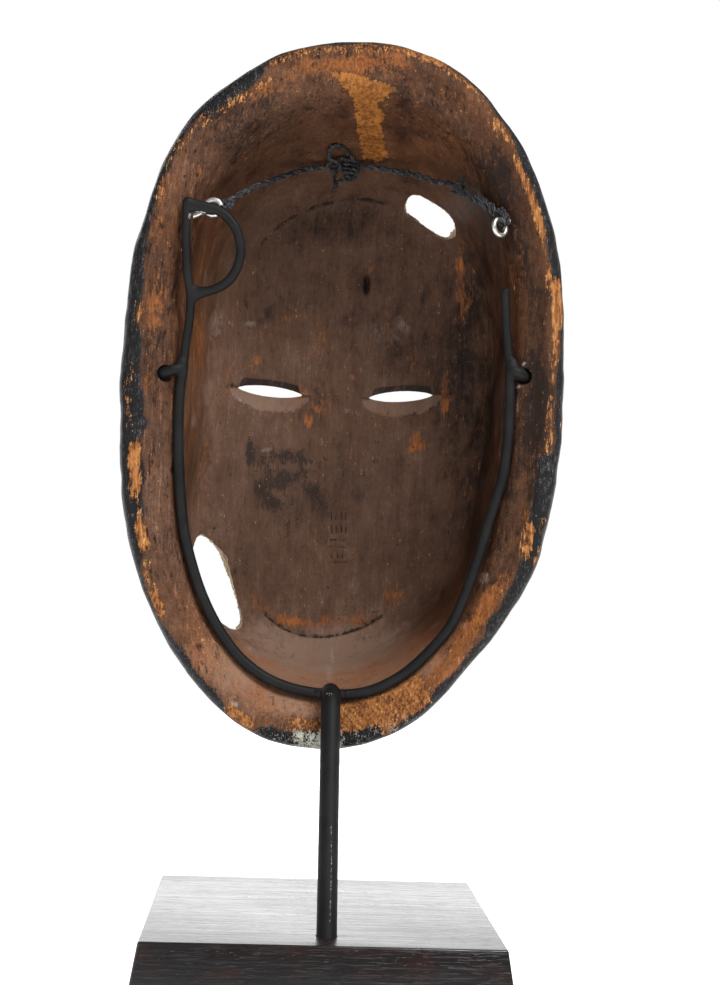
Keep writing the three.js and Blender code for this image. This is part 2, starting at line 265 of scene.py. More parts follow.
# A two-ply strand along a route in mm; u runs along it in the UV map and v goes round it
def twistedStrand(name, route, radius, pitch, sides, taper=0.0):
    steps = np.diff(route, axis=0)
    lengths = np.concatenate([[0], np.cumsum(np.linalg.norm(steps, axis=1))])
    tangents = np.gradient(route, axis=0)
    tangents /= np.linalg.norm(tangents, axis=1)[:, None]
    side = np.cross(tangents[0], [0.3, 0.2, 1.0])
    side /= np.linalg.norm(side)
    offset = plySize["offset"]
    points, rows = [], len(route)
    for k in range(rows):
        side = side - tangents[k] * (side @ tangents[k])
        side /= np.linalg.norm(side)
        other = np.cross(tangents[k], side)
        twist = 2 * math.pi * lengths[k] / pitch
        thin = 1 - taper * smoothStep(plySize["thinFrom"], 1.0, k / (rows - 1))
        if k in (0, rows - 1):
            thin *= plySize["ends"]
        for j in range(sides):
            turn = 2 * math.pi * j / sides
            lobe = turn - twist
            reach = offset * abs(math.cos(lobe))
            reach += math.sqrt(plySize["radius"] ** 2 - (offset * math.sin(lobe)) ** 2)
            fibre = noise.noise(Vector((lengths[k] * 0.25, j * 0.9, radius * 7)))
            reach = radius * thin * (reach + plySize["uneven"] * fibre)
            points.append(route[k] + reach * (math.cos(turn) * side + math.sin(turn) * other))
    first = len(points)
    points += [route[0], route[-1]]
    faces = []
    for k in range(rows - 1):
        for j in range(sides):
            after = (j + 1) % sides
            near, far = k * sides, (k + 1) * sides
            faces.append((near + j, near + after, far + after, far + j))
    for j in range(sides):
        after = (j + 1) % sides
        faces.append((first, after, j))
        faces.append((first + 1, (rows - 1) * sides + j, (rows - 1) * sides + after))
    mesh = bpy.data.meshes.new(name)
    mesh.from_pydata([tuple(p * mm) for p in points], [], faces)
    strand = bpy.data.objects.new(name, mesh)
    bpy.context.collection.objects.link(strand)
    layer = mesh.uv_layers.new(name="alongCord")
    for polygon in mesh.polygons:
        seam = any(mesh.loops[i].vertex_index % sides == 0 for i in polygon.loop_indices)
        for i in polygon.loop_indices:
            v = mesh.loops[i].vertex_index
            if v >= first:
                layer.data[i].uv = (lengths[0 if v == first else -1] * mm, 0.5)
                continue
            k, j = divmod(v, sides)
            wrap = 1.0 if seam and j == 0 and polygon.index % sides == sides - 1 else 0.0
            twist = lengths[k] / pitch
            layer.data[i].uv = (lengths[k] * mm, j / sides + wrap - twist)
    mesh.polygons.foreach_set("use_smooth", [True] * len(mesh.polygons))
    return strand


# Strands of the knots and hitches: a radius in mm, and spots as pixels across and down and mm nearer than
# the group's depth
knotSize = {
    "main": {
        "depth": -60.5, "pitch": 7, "sides": 14, "taper": 0.15,
        "strands": [
            (1.15, [(332, 168, 1), (329.5, 160, 4), (329.2, 153.5, 9.4), (330.5, 148, 14),
                    (334, 145.3, 15.6), (338.5, 145.2, 15.4), (344, 149, 12), (349, 154, 7.4),
                    (353, 159.5, 4.4), (355, 165, 3.5), (353, 170, 2)]),
            (1.4, [(338, 171, 0), (333, 172, 2.6), (328.6, 168.5, 3.4), (328.6, 163.5, 3.8),
                   (333, 160.5, 4.4), (338, 162.5, 4.6), (340, 167, 3.5), (338, 171, 2)]),
            (1.1, [(336, 166, 1), (338.5, 160.5, 3.8), (343, 158.5, 4.4), (347, 161, 3.2), (348, 166, 1)]),
            (0.95, [(344, 162, 0), (345, 160.8, 3.2), (351, 160.5, 5), (357, 163, 3.2), (357, 166, -0.5),
                    (350, 166, -2.5), (344.5, 164.5, 1), (345.5, 164, 4), (351.5, 164.5, 5.4),
                    (357.6, 167, 3.4), (357.5, 170, -0.5), (350, 170, -2.5), (344, 168.2, 1),
                    (345, 167.8, 4), (351.5, 168.6, 5.6), (357.8, 171, 3.4), (357.5, 174, -0.5),
                    (350, 174, -2.5), (344, 172, 1), (345, 171.8, 4), (351.5, 172.8, 5.4),
                    (357.4, 175.2, 3.2), (356.5, 178, 0), (350, 178, -2), (344.5, 176, 1),
                    (346, 175.6, 3.8), (351.5, 177, 4.8), (356, 178.5, 3), (352, 180, 1.5), (345, 180, 2.6)]),
            (1.15, [(351, 178.5, 2.4), (345, 179.5, 3), (339, 181, 3.4), (335.5, 184, 3.4),
                    (333.2, 190.5, 3)]),
            (1.2, [(338, 168, 0), (335.5, 173, -0.5), (334.5, 178, 0.5), (335.5, 183, 1.2),
                   (337.5, 188, 1.6)]),
            (1.2, [(352, 163, 0), (358, 166, 1.5), (364, 168.5, 0)]),
        ],
    },
    "small": {
        "depth": -20, "pitch": 7, "sides": 12, "taper": 0.5,
        "strands": [
            (1.1475, [(453, 184, -1.5), (456, 189, 1.6), (461, 192, 2.2), (464, 189, 0), (461, 184, -1.6),
                      (457, 183, 0), (457, 188, 2.6), (462, 192.5, 1.5)]),
            (1.1475, [(458, 191, 0.5), (460, 186, 2.8), (462.5, 181.5, 2.2), (464, 177.5, 1.6)]),
            (1.1475, [(462, 190, 1), (459, 184, 2.6), (456, 180.5, 1.8)]),
        ],
    },
    # Second strand beside the cord at the right screw eye, its route in mm
    "doubled": {
        "radius": 1.35, "pitch": 9, "sides": 16,
        "route": [[-56.9, -27.4, 403.4], [-61.5, -19, 400.4], [-66.8, -11.6, 395.6], [-73.2, -3.6, 389.8],
                  [-77.2, 1.4, 384.6], [-79.4, 4.2, 380.4]],
    },
    "rightHitch": {
        "depth": 4.5, "pitch": 8, "sides": 12, "taper": 0.4,
        "strands": [
            (1.053, [(501, 208, -3), (505.5, 213, 2.6), (508.4, 218.6, 3.4), (506.5, 224.5, 1),
                     (504, 226, -1), (501.5, 222, -3.4), (501, 214, -2.6)]),
            (1.053, [(497, 209, -2), (502, 213, 2.6), (505.5, 218, 2.8), (506.5, 224, -1.2),
                     (503.5, 226, -3)]),
        ],
    },
    "leftHitch": {
        "depth": -6, "pitch": 8, "sides": 12, "taper": 0.4,
        "strands": [
            (1.1475, [(231, 203, 1.5), (226, 207, 2.5), (221, 207, 2.4), (218.5, 203.5, -0.5),
                      (220.5, 200.5, -3), (225, 202, -2.4), (228, 206, 0.5)]),
            (1.1475, [(234, 204, -1), (227, 209, 1.4), (221.5, 210, 1.6), (218.5, 207.5, -1),
                      (221, 204.5, -3)]),
        ],
    },
    "step": 0.5,
}


def knotStrands(group):
    strands = []
    for radius, spots in group["strands"]:
        points = [pointAt(across, down, group["depth"] + near) for across, down, near in spots]
        route = smoothRoute(points, knotSize["step"])
        strand = twistedStrand("knot_strand", route, radius, group["pitch"], group["sides"], group["taper"])
        strands.append(strand)
    return strands


def makeCord():
    route = smoothRoute(cordSize["route"], cordSize["step"])
    thick = cordSize["swollen"] * cordSize["radius"]
    cord = twistedStrand("tie_cord_strand", route, thick, cordSize["pitch"], cordSize["sides"])
    strands = knotStrands(knotSize["main"]) + knotStrands(knotSize["small"])
    doubled = knotSize["doubled"]
    twin = smoothRoute(doubled["route"], knotSize["step"])
    strands.append(twistedStrand("knot_strand", twin, doubled["radius"], doubled["pitch"], doubled["sides"]))
    strands += knotStrands(knotSize["rightHitch"]) + knotStrands(knotSize["leftHitch"])
    knots = joinPieces(strands, "cord_knots")
    return cord, knots, route


# Loose fibres that stand off the cord and its knots
frayedSize = {
    "radius": 0.16,
    "pitch": 3,
    "sides": 5,
    "taper": 0.5,
    "step": 0.8,
    "longest": 3.6,
    "shortOnCord": 0.55,
    "alongCord": 40,
    "atKnots": 16,
    "seed": 11,
    # Where knots fray: pixels across and down, y in mm, and the way that the fibres hang
    "ends": [(333, 190, -57.9, (0, 0, -1)), (464, 178, -18.4, (0, 0, 1)), (456, 181, -18.2, (0.4, 0, 1))],
}


def makeFrays(route):
    chance = random.Random(frayedSize["seed"])
    starts = []
    for _ in range(frayedSize["alongCord"]):
        k = chance.randrange(6, len(route) - 6)
        starts.append((route[k], route[k + 3] - route[k - 3], frayedSize["shortOnCord"]))
    for k in range(frayedSize["atKnots"]):
        across, down, y, way = frayedSize["ends"][k % len(frayedSize["ends"])]
        starts.append((pointAt(across, down, y), np.array(way, float), 1.0))
    hairs = []
    for place, way, share in starts:
        way = way / np.linalg.norm(way)
        loose = np.array([chance.uniform(-1, 1) for _ in range(3)])
        loose = loose - way * (loose @ way) * 0.5
        loose /= np.linalg.norm(loose)
        length = frayedSize["longest"] * share * chance.uniform(0.4, 1.0)
        bend = np.array([chance.uniform(-1, 1) for _ in range(3)]) * length * 0.25
        points = [place + loose * 0.7, place + loose * length * 0.45 + way * length * 0.3 + bend * 0.4,
                  place + loose * length * 0.6 + way * length * 0.75 + bend]
        hairs.append(twistedStrand("fray", smoothRoute(points, frayedSize["step"]), frayedSize["radius"],
                                   frayedSize["pitch"], frayedSize["sides"], frayedSize["taper"]))
    return joinPieces(hairs, "cord_frays")


cord, knots, cordLine = makeCord()
frays = makeFrays(cordLine)
for piece in (cord, knots, frays):
    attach(piece, "root")
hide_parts("tie_cord")


# Steel of the stand: stem, U rod, arms, loop and pins, brazed together

steelSize = {
    "stemRadius": 4.75,
    "cradleRadius": 2.6,
    "armRadius": 2.2,
    "loopRadius": 2.4,
    "pinRadius": 2.75,
    "voxel": 0.5,
    "smoothRounds": 10,
    "roughness": 0.06,
    "roughDensity": 260,
    "regain": 0.1,
    "stem": [
        [-1.75, 67, 26.8], [-1.75, 61.4, 38], [-1.75, 36.4, 88], [-1.75, 14.5, 131.8], [-1.75, 11.2, 137.6],
        [-1.75, 7.6, 141.6], [-1.75, 3.4, 143.7], [-1.75, 0.4, 144.2],
    ],
    "cradle": [
        [76.9, 303.5], [78.2, 290], [78.2, 271], [76.6, 246.7], [73.5, 222], [69.2, 206], [63.1, 189.7],
        [54.4, 173.7], [43.8, 160.3], [30.8, 150.8], [17.8, 145.8], [3.9, 143.6], [-9, 143.4], [-22.4, 146],
        [-37, 153.9], [-50.3, 166.2], [-60.2, 178.9], [-67, 194.1], [-72.9, 212.7], [-77.4, 229.6],
        [-81.4, 243.5], [-84.2, 254], [-85.8, 267], [-86.7, 281], [-86.6, 298.5], [-86.2, 309.5],
    ],
    "leftPin": [[76.9, 0.4, 302.6], [79.5, 1.8, 301.9], [82.3, 2.6, 301], [85.6, 1.6, 300],
                [88.6, -1.6, 299.3], [92, -6, 299]],
    "rightPin": [[-86.3, 0.4, 308.6], [-87.9, 2.2, 307.4], [-90.2, 2.4, 306.2], [-93.2, 0.6, 305.2],
                 [-96.4, -3, 304.9], [-99.2, -6.4, 304.9]],
    "leftArm": [[76.9, 0.2, 303.5], [76.1, 1.2, 315.4], [74.7, 2.2, 326.8], [74.6, 3.2, 338.2],
                [76.6, 4.8, 350], [77.5, 5.7, 362], [78.1, 7, 384.2]],
    "rightArm": [[-86.2, 0, 308.5], [-84.8, 0, 320.6], [-83.6, 0, 331.7], [-82.5, 0, 348.5]],
    # Loop, and the thicker braze in its corners with a radius each, as pixels across and down, and y in mm
    "loop": [(187.5, 202.8, 7), (193, 203.8, 7), (198, 205.2, 7), (204, 206.4, 7), (209, 207.4, 7),
             (214.5, 209, 7), (220, 211.7, 7), (225, 215, 6.9), (229, 218.9, 6.8), (233, 223.8, 6.7),
             (235.8, 228.3, 6.5), (239.2, 238.3, 6.2), (240.8, 250.6, 5.8), (239.2, 261.7, 5.4),
             (234.6, 272.8, 5), (226.9, 282.2, 4.4), (217, 288.3, 3.9), (207, 291.2, 3.5), (197, 292.2, 3.3),
             (190, 294, 3.2)],
    "fillets": [
        (2.2, [(189, 206, 7), (196, 208, 7), (205, 209.4, 7), (214, 210.6, 7)]),
        (1.7, [(188.6, 276, 3.8), (190.4, 285, 3.6), (195.5, 289.4, 3.5), (205, 290.4, 3.5)]),
        (1.7, [(190.8, 309, 2.8), (192.6, 300.5, 3.2), (198, 295.8, 3.4), (207, 293, 3.5)]),
    ],
    # Lumps of braze: place, and radii along X, Y and Z
    "braze": [
        [(-1.75, 2.2, 143.6), (8.4, 3.2, 3.2)],
        [(77.3, 7, 384.4), (2.9, 2.6, 2.7)],
        [(77.8, 1.0, 304.4), (3.2, 2.6, 4.6)],
        [(-87.2, 0.9, 309.0), (3.4, 2.7, 5.4)],
        [(-90.0, 1.4, 306.6), (4.6, 2.6, 3.2)],
    ],
}


def steelRod(points, radius):
    route = smoothRoute(points, 2.0)
    curve = bpy.data.curves.new("rod", "CURVE")
    curve.dimensions = "3D"
    curve.bevel_depth = radius * mm
    curve.bevel_resolution = 5
    curve.use_fill_caps = True
    spline = curve.splines.new("POLY")
    spline.points.add(len(route) - 1)
    for point, place in zip(spline.points, route):
        point.co = (*(place * mm), 1)
    rod = bpy.data.objects.new("rod", curve)
    bpy.context.collection.objects.link(rod)
    pick(rod)
    bpy.ops.object.convert(target="MESH")
    return bpy.context.object


def roundEnd(place, radius):
    bpy.ops.mesh.primitive_ico_sphere_add(subdivisions=3, radius=radius * mm, location=Vector(place) * mm)
    return bpy.context.object


def makeSteel():
    cradle = [[x, 0, z] for x, z in steelSize["cradle"]]
    rods = [steelRod(steelSize["stem"], steelSize["stemRadius"]), steelRod(cradle, steelSize["cradleRadius"])]
    for part in ("pin", "arm"):
        for side in ("left", "right"):
            rods.append(steelRod(steelSize[side + part.title()], steelSize[part + "Radius"]))
    rods.append(steelRod([pointAt(*spot) for spot in steelSize["loop"]], steelSize["loopRadius"]))
    rods.append(roundEnd(steelSize["stem"][-1], steelSize["stemRadius"] * 0.98))
    for radius, spots in steelSize["fillets"]:
        rods.append(steelRod([pointAt(*spot) for spot in spots], radius))
    for place, radii in steelSize["braze"]:
        lump = roundEnd(place, 1)
        lump.scale = radii
        settlePlace(lump)
        rods.append(lump)
    for rod in rods:
        settlePlace(rod)
    steel = joinPieces(rods, "stand_steel")
    applyModifier(steel, "REMESH", mode="VOXEL", voxel_size=steelSize["voxel"] * mm, use_smooth_shade=True)
    applyModifier(steel, "SMOOTH", factor=0.5, iterations=steelSize["smoothRounds"])
    roughen(steel, steelSize["roughness"], steelSize["roughDensity"], steelSize["regain"])
    return steel


def meshNormals(piece):
    normals = np.zeros(len(piece.data.vertices) * 3, np.float32)
    piece.data.vertices.foreach_get("normal", normals)
    return normals.reshape(-1, 3).astype(float)


# Slight unevenness of a surface: depth in mm, bumps to the metre, and an even growth in mm
def roughen(piece, depth, density, growth=0.0):
    points = meshPoints(piece)
    lift = np.array([growth + depth * noise.noise(Vector(p) * density) for p in points])
    setMeshPoints(piece, points + meshNormals(piece) * (lift * mm)[:, None])


# Base block of dark wood

baseSize = {"topSide": 165, "bottomSide": 177, "height": 38, "edge": 0.9, "socket": 5.15, "socketDepth": 13,
            "socketReach": 20, "socketSides": 48, "stemFoot": (-1.75, 61.4), "stemLean": 0.5}


def makeBase():
    height = baseSize["height"]
    clearSelection()
    bpy.ops.mesh.primitive_cube_add(size=1, location=(0, 0, height * mm / 2))
    base = bpy.context.object
    base.name = "base_block"
    base.scale = (baseSize["bottomSide"] * mm, baseSize["bottomSide"] * mm, height * mm)
    settlePlace(base)
    selectFaces(base, lambda face: face.normal.z > 0.9)
    share = baseSize["topSide"] / baseSize["bottomSide"]
    bpy.ops.transform.resize(value=(share, share, 1), center_override=(0, 0, height * mm))
    bpy.ops.object.mode_set(mode="OBJECT")
    applyModifier(base, "BEVEL", width=baseSize["edge"] * mm, segments=4)
    lean = Vector((0, -baseSize["stemLean"], 1)).normalized()
    foot = Vector((*baseSize["stemFoot"], height))
    reach, depth = baseSize["socketReach"], baseSize["socketDepth"]
    middle = foot + lean * (reach - depth) / 2
    cutter = boreCutter(middle, lean, baseSize["socket"], reach + depth, baseSize["socketSides"])
    cutAway(base, cutter, solver="EXACT")
    smoothShade(base, 30)
    return base


# Zinc screw eyes: an open ring bent from the shank's own wire, and a threaded shank in the wood

eyeletSize = {
    "radius": 4.1,
    "wire": 1.3,
    "shank": 12.5,
    "thread": 0.14,
    "threadTurn": 7.5,
    "threadStart": 3,
    "opening": 0.32,
    "ringSteps": 24,
    # Centre of each ring, the way of its shank, and the way that the ring faces
    "places": {"screw_eye_left": [(65.5, -5, 384.7), (0.88, -0.05, -0.42), (0.3, 0.95, 0)],
               "screw_eye_right": [(-78.5, 4, 379.2), (-0.66, -0.56, 0.50), (-0.5, 0.86, 0)]},
}


def makeScrewEye(name, centre, shank, faces):
    radius, opening, steps = eyeletSize["radius"], eyeletSize["opening"], eyeletSize["ringSteps"]
    points = []
    for k in range(steps + 1):
        turn = math.radians(90) + opening + (2 * math.pi - opening * 1.3) * k / steps
        points.append([radius * math.cos(turn), 0, radius * math.sin(turn)])
    points += [[0.5, 0, radius + 0.5], [0, 0, radius + 1.6], [0, 0, radius + 4]]
    points.append([0, 0, radius + eyeletSize["shank"]])
    eyelet = steelRod(points, eyeletSize["wire"])
    eyelet.name = name + "_wire"
    spots = meshPoints(eyelet) / mm
    past = spots[:, 2] - radius - eyeletSize["threadStart"]
    wave = np.sin(past * eyeletSize["threadTurn"] + np.arctan2(spots[:, 1], spots[:, 0]))
    ridge = np.where(past > 0, eyeletSize["thread"] * wave, 0)
    spots[:, :2] *= (1 + ridge / eyeletSize["wire"])[:, None]
    down = Vector(shank).normalized()
    out = (Vector(faces) - down * down.dot(Vector(faces))).normalized()
    turn = np.array([out.cross(down), out, down])
    spots = spots @ turn + np.array(centre)
    setMeshPoints(eyelet, spots * mm)
    smoothShade(eyelet, 50)
    return eyelet


steel = makeSteel()
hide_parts("stem", "cradle_rod", "arm_left", "arm_right", "loop_rod")
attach(steel, "root")
print("steel brazed, triangles", 2 * len(steel.data.polygons))

base = makeBase()
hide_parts("base")
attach(base, "root")
print("base made")

eyelets = []
for eyeletName, eyeletPlace in eyeletSize["places"].items():
    eyelet = makeScrewEye(eyeletName, *eyeletPlace)
    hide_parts(eyeletName)
    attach(eyelet, "root")
    eyelets.append(eyelet)
print("screw eyes made")


# Mask: the shape, from the same sizes as its solid, in mm about its own axis

maskSize = {
    "x": -2.4,
    "z": 292,
    "around": 360,
    "rim": [110.2, 115.4, 132.4, 158.2, 175, 177.6, 159.4, 134.6, 117,
            111, 115.6, 129.2, 145.2, 170.4, 174.6, 153.8, 131.2, 115.6],
    "foot": [67, 71, 86, 110, 121, 124, 119, 101, 87,
             81, 82, 93, 113, 129, 132, 124, 98, 75],
    "floor": [55, 58, 71, 97, 113, 119, 112, 94, 82,
              77.5, 72.6, 79, 98, 118.5, 123, 102, 71, 58.5],
    "band": [26.3, 26, 25, 24, 24, 24, 24, 23, 23,
             23.8, 24, 26, 17.5, 21, 23, 23.4, 26.5, 27],
    # Waviness of the rim's edge every 10 degrees, and ripples as height, count and start
    "rimWave": [0.3, 0.1, 0.1, 1.0, 0.5, 0.6, 0.9, 0.1, 0.7, 0.3, 1.0, 2.2, 1.1, 0.8, 1.0, 1.0, 0.6, 0.1,
                0.4, 0.4, 0.2, -0.2, 0.6, 0.5, 0.7, 0.0, 0.3, 0.4, 0.2, 0.3, 0.2, -0.4, 0.3, 0.2, 0.2, -0.5],
    "ripples": [(0.14, 23, 1), (0.1, 41, 2.3), (0.06, 67, 0)],
    "crestY": 8,
    "crestInset": 8,
    "girthY": -1,
    "shoulderY": -0.5,
    "footY": -78,
    # Where the floor's marks and the lids end, towards the rim
    "floorZoneY": -70,
    "lidZoneY": -80,
    "floorEdgeY": -88,
    "floorCentreY": -97,
    "lipY": -93.5,
    "grooveY": -91,
    "faceEdgeY": -96.5,
    "faceCentreY": -112,
    "faceHalfWidth": 86,
    "faceTop": 134,
    "faceBottom": 140,
    "rollCount": 3,
    "rollHeight": 2.6,
    "combDepth": 0.8,
    "combSpacing": 4,
    # Where hair begins below and above, as the sine of the turn round the rim
    "hairline": (-0.38, -0.2),
    # Rings between neighbouring points of the hollow's profile, from the floor's centre to the girth
    "ringCounts": [14, 15, 14, 12, 9, 7, 10, 15, 15, 7, 9, 8, 6, 7],
    "sideRings": 36,
    "faceRings": 46,
}
eyeSize = {"x": 36.6, "z": 8, "halfLength": 18, "halfHeight": 3, "tilt": 0.08, "rise": 6,
           "hollowLength": 22.5, "hollowHeight": 12.2, "hollowMiddle": 2.6, "hollowDepth": 3.4}
earSize = {"z": 6, "y": -58, "halfHeight": 23, "halfDepth": 15, "height": 6.5}


# Catmull-Rom value between equally spaced numbers on a closed ring
def ringValue(values, theta):
    numbers = np.array(values, float)
    count = len(numbers)
    place = (theta / (2 * math.pi) * count) % count
    i = np.floor(place).astype(int)
    f = place - i
    a, b, c, d = (numbers[(i + k) % count] for k in (-1, 0, 1, 2))
    return b + 0.5 * ((c - a) * f + (2 * a - 5 * b + 4 * c - d) * f ** 2 + (-a + 3 * b - 3 * c + d) * f ** 3)


# The rim's outline with its waviness, at a turn round the axis from +X
def rimRadius(theta):
    fine = sum(height * np.sin(theta * count + start) for height, count, start in maskSize["ripples"])
    return ringValue(maskSize["rim"], theta) + ringValue(maskSize["rimWave"], theta) + fine


# The oval groove round the face
def faceOval(theta):
    height = np.where(np.sin(theta) > 0, maskSize["faceTop"], maskSize["faceBottom"])
    return 1 / np.hypot(np.cos(theta) / maskSize["faceHalfWidth"], np.sin(theta) / height)


# Hollow from the floor's centre out to the girth, as radius and depth
def hollowPoints(theta):
    rim = rimRadius(theta)
    foot = ringValue(maskSize["foot"], theta)
    edge = ringValue(maskSize["floor"], theta)
    shoulder = rim - ringValue(maskSize["band"], theta)
    crest = rim - maskSize["crestInset"]
    centreY, edgeY = maskSize["floorCentreY"], maskSize["floorEdgeY"]
    level = np.ones_like(theta)
    points = [(edge * s, mix(centreY, edgeY, s * s) * level) for s in (0, 0.3, 0.6, 0.85, 1)]
    points += [
        (mix(edge, foot, 0.7), mix(edgeY, maskSize["footY"], 0.45) * level),
        (foot + 2, maskSize["footY"] * level),
        (mix(foot + 3, shoulder - 4, 0.3), -62 * level),
        (mix(foot + 3, shoulder - 4, 0.65), -36 * level),
        (shoulder - 4, -9 * level),
        (shoulder, maskSize["shoulderY"] * level),
        (mix(shoulder, crest, 0.55), 4.6 * level),
        (crest, maskSize["crestY"] * level),
        (rim - 2.4, 6 * level),
        (rim, maskSize["girthY"] * level),
    ]
    return np.array(points)


# Long ridges of the hair, from the rim at 0 to the groove at 1
def rollSwell(theta, v):
    hair = smoothStep(*maskSize["hairline"], np.sin(theta))
    wave = np.sqrt(np.abs(np.sin(maskSize["rollCount"] * math.pi * v)))
    return hair * (maskSize["rollHeight"] * wave - 0.6) * smoothStep(0, 0.12, v)


def earSwell(y, z):
    q = np.hypot((y - earSize["y"]) / earSize["halfDepth"], (z - earSize["z"]) / earSize["halfHeight"])
    return earSize["height"] * (bump((q - 0.75) / 0.3) + 0.35 * bump(q / 0.35))


# Hair or cheek side from the girth forward to the lip of the groove
def sidePoint(theta, v):
    rim = rimRadius(theta)
    lip = faceOval(theta) + 5
    w = 1 - v
    nearRim, nearLip = 3 * w * w * v, 3 * w * v * v
    radius = w ** 3 * rim + nearRim * (rim - 1) + nearLip * mix(rim, lip, 0.42) + v ** 3 * lip
    depth = w ** 3 * maskSize["girthY"] + nearRim * -36 + nearLip * -80 + v ** 3 * maskSize["lipY"]
    ear = np.where(np.abs(np.cos(theta)) > 0.8, earSwell(depth, radius * np.sin(theta)), 0)
    swell = rollSwell(theta, v) + ear * smoothStep(0, 0.3, v)
    return radius + swell * mix(1, 0.5, v), depth - swell * 0.8 * v


# Soft forms on both sides of the face: height, middle and half width across, middle and half height up
faceForms = [
    (7, 9, 6, -38, 8), (-4, eyeSize["x"], 26, eyeSize["z"], 16), (7, eyeSize["x"], 20, eyeSize["z"], 8),
    (8.5, 0, 19, -72, 9), (6, 0, 24, -108, 17), (5, 46, 22, -36, 30), (7, 0, 56, 80, 38),
]
fineForms = [(-1.2, 0, 3.2, -63, 4), (-2.2, 6.5, 2.2, -43, 2.2)]


def formHeight(forms, side, z):
    lift = 0
    for height, x, width, up, tall in forms:
        lift = lift + height * bump((side - x) / width) * bump((z - up) / tall)
    return lift


# Carved features of the face above its plain dome, the same as the solid's
def faceRelief(x, z):
    side = np.abs(x)
    noseHeight = mix(5, 19, smoothStep(14, -36, z)) * between(z, -48, -40, 6, 26)
    noseWidth = mix(6, 10, smoothStep(8, -36, z))
    nose = noseHeight * np.exp(-((side / noseWidth) ** 2.6))
    brow = 4 * bump((z - browLine(side)) / 6) * between(side, 6, 18, 52, 68)
    mark = 3 * bump(side / 4.6) * between(z, 42, 52, 98, 108)
    return nose + brow + mark + formHeight(faceForms, side, z)


def browLine(side):
    return 33 - 0.006 * (side - 34) ** 2


# Finer carving of the face: lid edges, mouth line, nostrils, brow edge and marks of the forehead and temples
def fineFace(x, z):
    side = np.abs(x)
    fromEye = side - eyeSize["x"]
    lidArch = np.sqrt(np.clip(1 - (fromEye / 25) ** 2, 0, 1))
    lidLines = bump((z - eyeSize["z"] - 9 * lidArch) / 1.6) + bump((z - eyeSize["z"] + 8 * lidArch) / 1.6)
    lidLines *= -1.1 * smoothStep(26, 21, np.abs(fromEye))
    mouthLine = -72 + 1.4 * np.cos(side / 4.2)
    mouth = -2.6 * bump((z - mouthLine) / 1.5) * smoothStep(21, 15, side)
    browEdge = -1.0 * bump((z - browLine(side) + 6.5) / 1.7) * between(side, 8, 16, 54, 64)
    bars = 1.9 * bump((side - 13) / 3.4) * between(z, 58, 63, 95, 100)
    bars += sum(1.3 * bump((z + 6 + 8 * k) / 2.2) for k in range(3)) * between(side, 62, 65, 74, 77)
    return lidLines + mouth + browEdge + bars + formHeight(fineForms, side, z)


def facePoint(theta, s):
    radius = (faceOval(theta) - 4.5) * s
    x, z = radius * np.cos(theta), radius * np.sin(theta)
    dome = mix(maskSize["faceCentreY"], maskSize["faceEdgeY"], s ** 2.6)
    lift = faceRelief(x, z) + fineFace(x, z)
    return radius, dome - lift * smoothStep(1, 0.88, s)


# Smooth profile through the hollow's points; the spacing follows their distances
def smoothHollow(points, after):
    chain = np.concatenate([points, after[None]])
    gaps = np.sqrt(((chain[1:] - chain[:-1]) ** 2).sum(1)) + 1e-6
    slopes = (chain[1:] - chain[:-1]) / gaps[:, None]
    tangents = np.zeros_like(points)
    tangents[0] = slopes[0] * np.array([1, 0])[:, None]
    for i in range(1, len(points)):
        before, ahead = gaps[i - 1], gaps[i]
        tangents[i] = (slopes[i - 1] * ahead + slopes[i] * before) / (before + ahead)
    rings = []
    for i, count in enumerate(maskSize["ringCounts"]):
        for k in range(count):
            if i == 0 and k == 0:
                continue
            t = k / count
            near, far = points[i], points[i + 1]
            bendNear, bendFar = tangents[i] * gaps[i], tangents[i + 1] * gaps[i]
            rings.append((2 * t ** 3 - 3 * t ** 2 + 1) * near + (t ** 3 - 2 * t ** 2 + t) * bendNear
                         + (3 * t ** 2 - 2 * t ** 3) * far + (t ** 3 - t ** 2) * bendFar)
    return rings


# All rings from the floor round to the front, as radius and depth, with the zone that each one belongs to
def maskRings(theta):
    hollow = hollowPoints(theta)
    after = np.array(sidePoint(theta, 1 / maskSize["sideRings"]))
    rings = smoothHollow(hollow, after)
    zones = ["hollow"] * len(rings)
    for k in range(maskSize["sideRings"] + 1):
        rings.append(np.array(sidePoint(theta, k / maskSize["sideRings"])))
        zones.append("side")
    rings.append(np.array([faceOval(theta) + 2.2, (maskSize["grooveY"] - 0.5) * np.ones_like(theta)]))
    rings.append(np.array([faceOval(theta), maskSize["grooveY"] * np.ones_like(theta)]))
    zones += ["groove"] * 2
    for k in range(maskSize["faceRings"]):
        rings.append(np.array(facePoint(theta, 1 - k / maskSize["faceRings"])))
        zones.append("face")
    return np.array(rings), zones


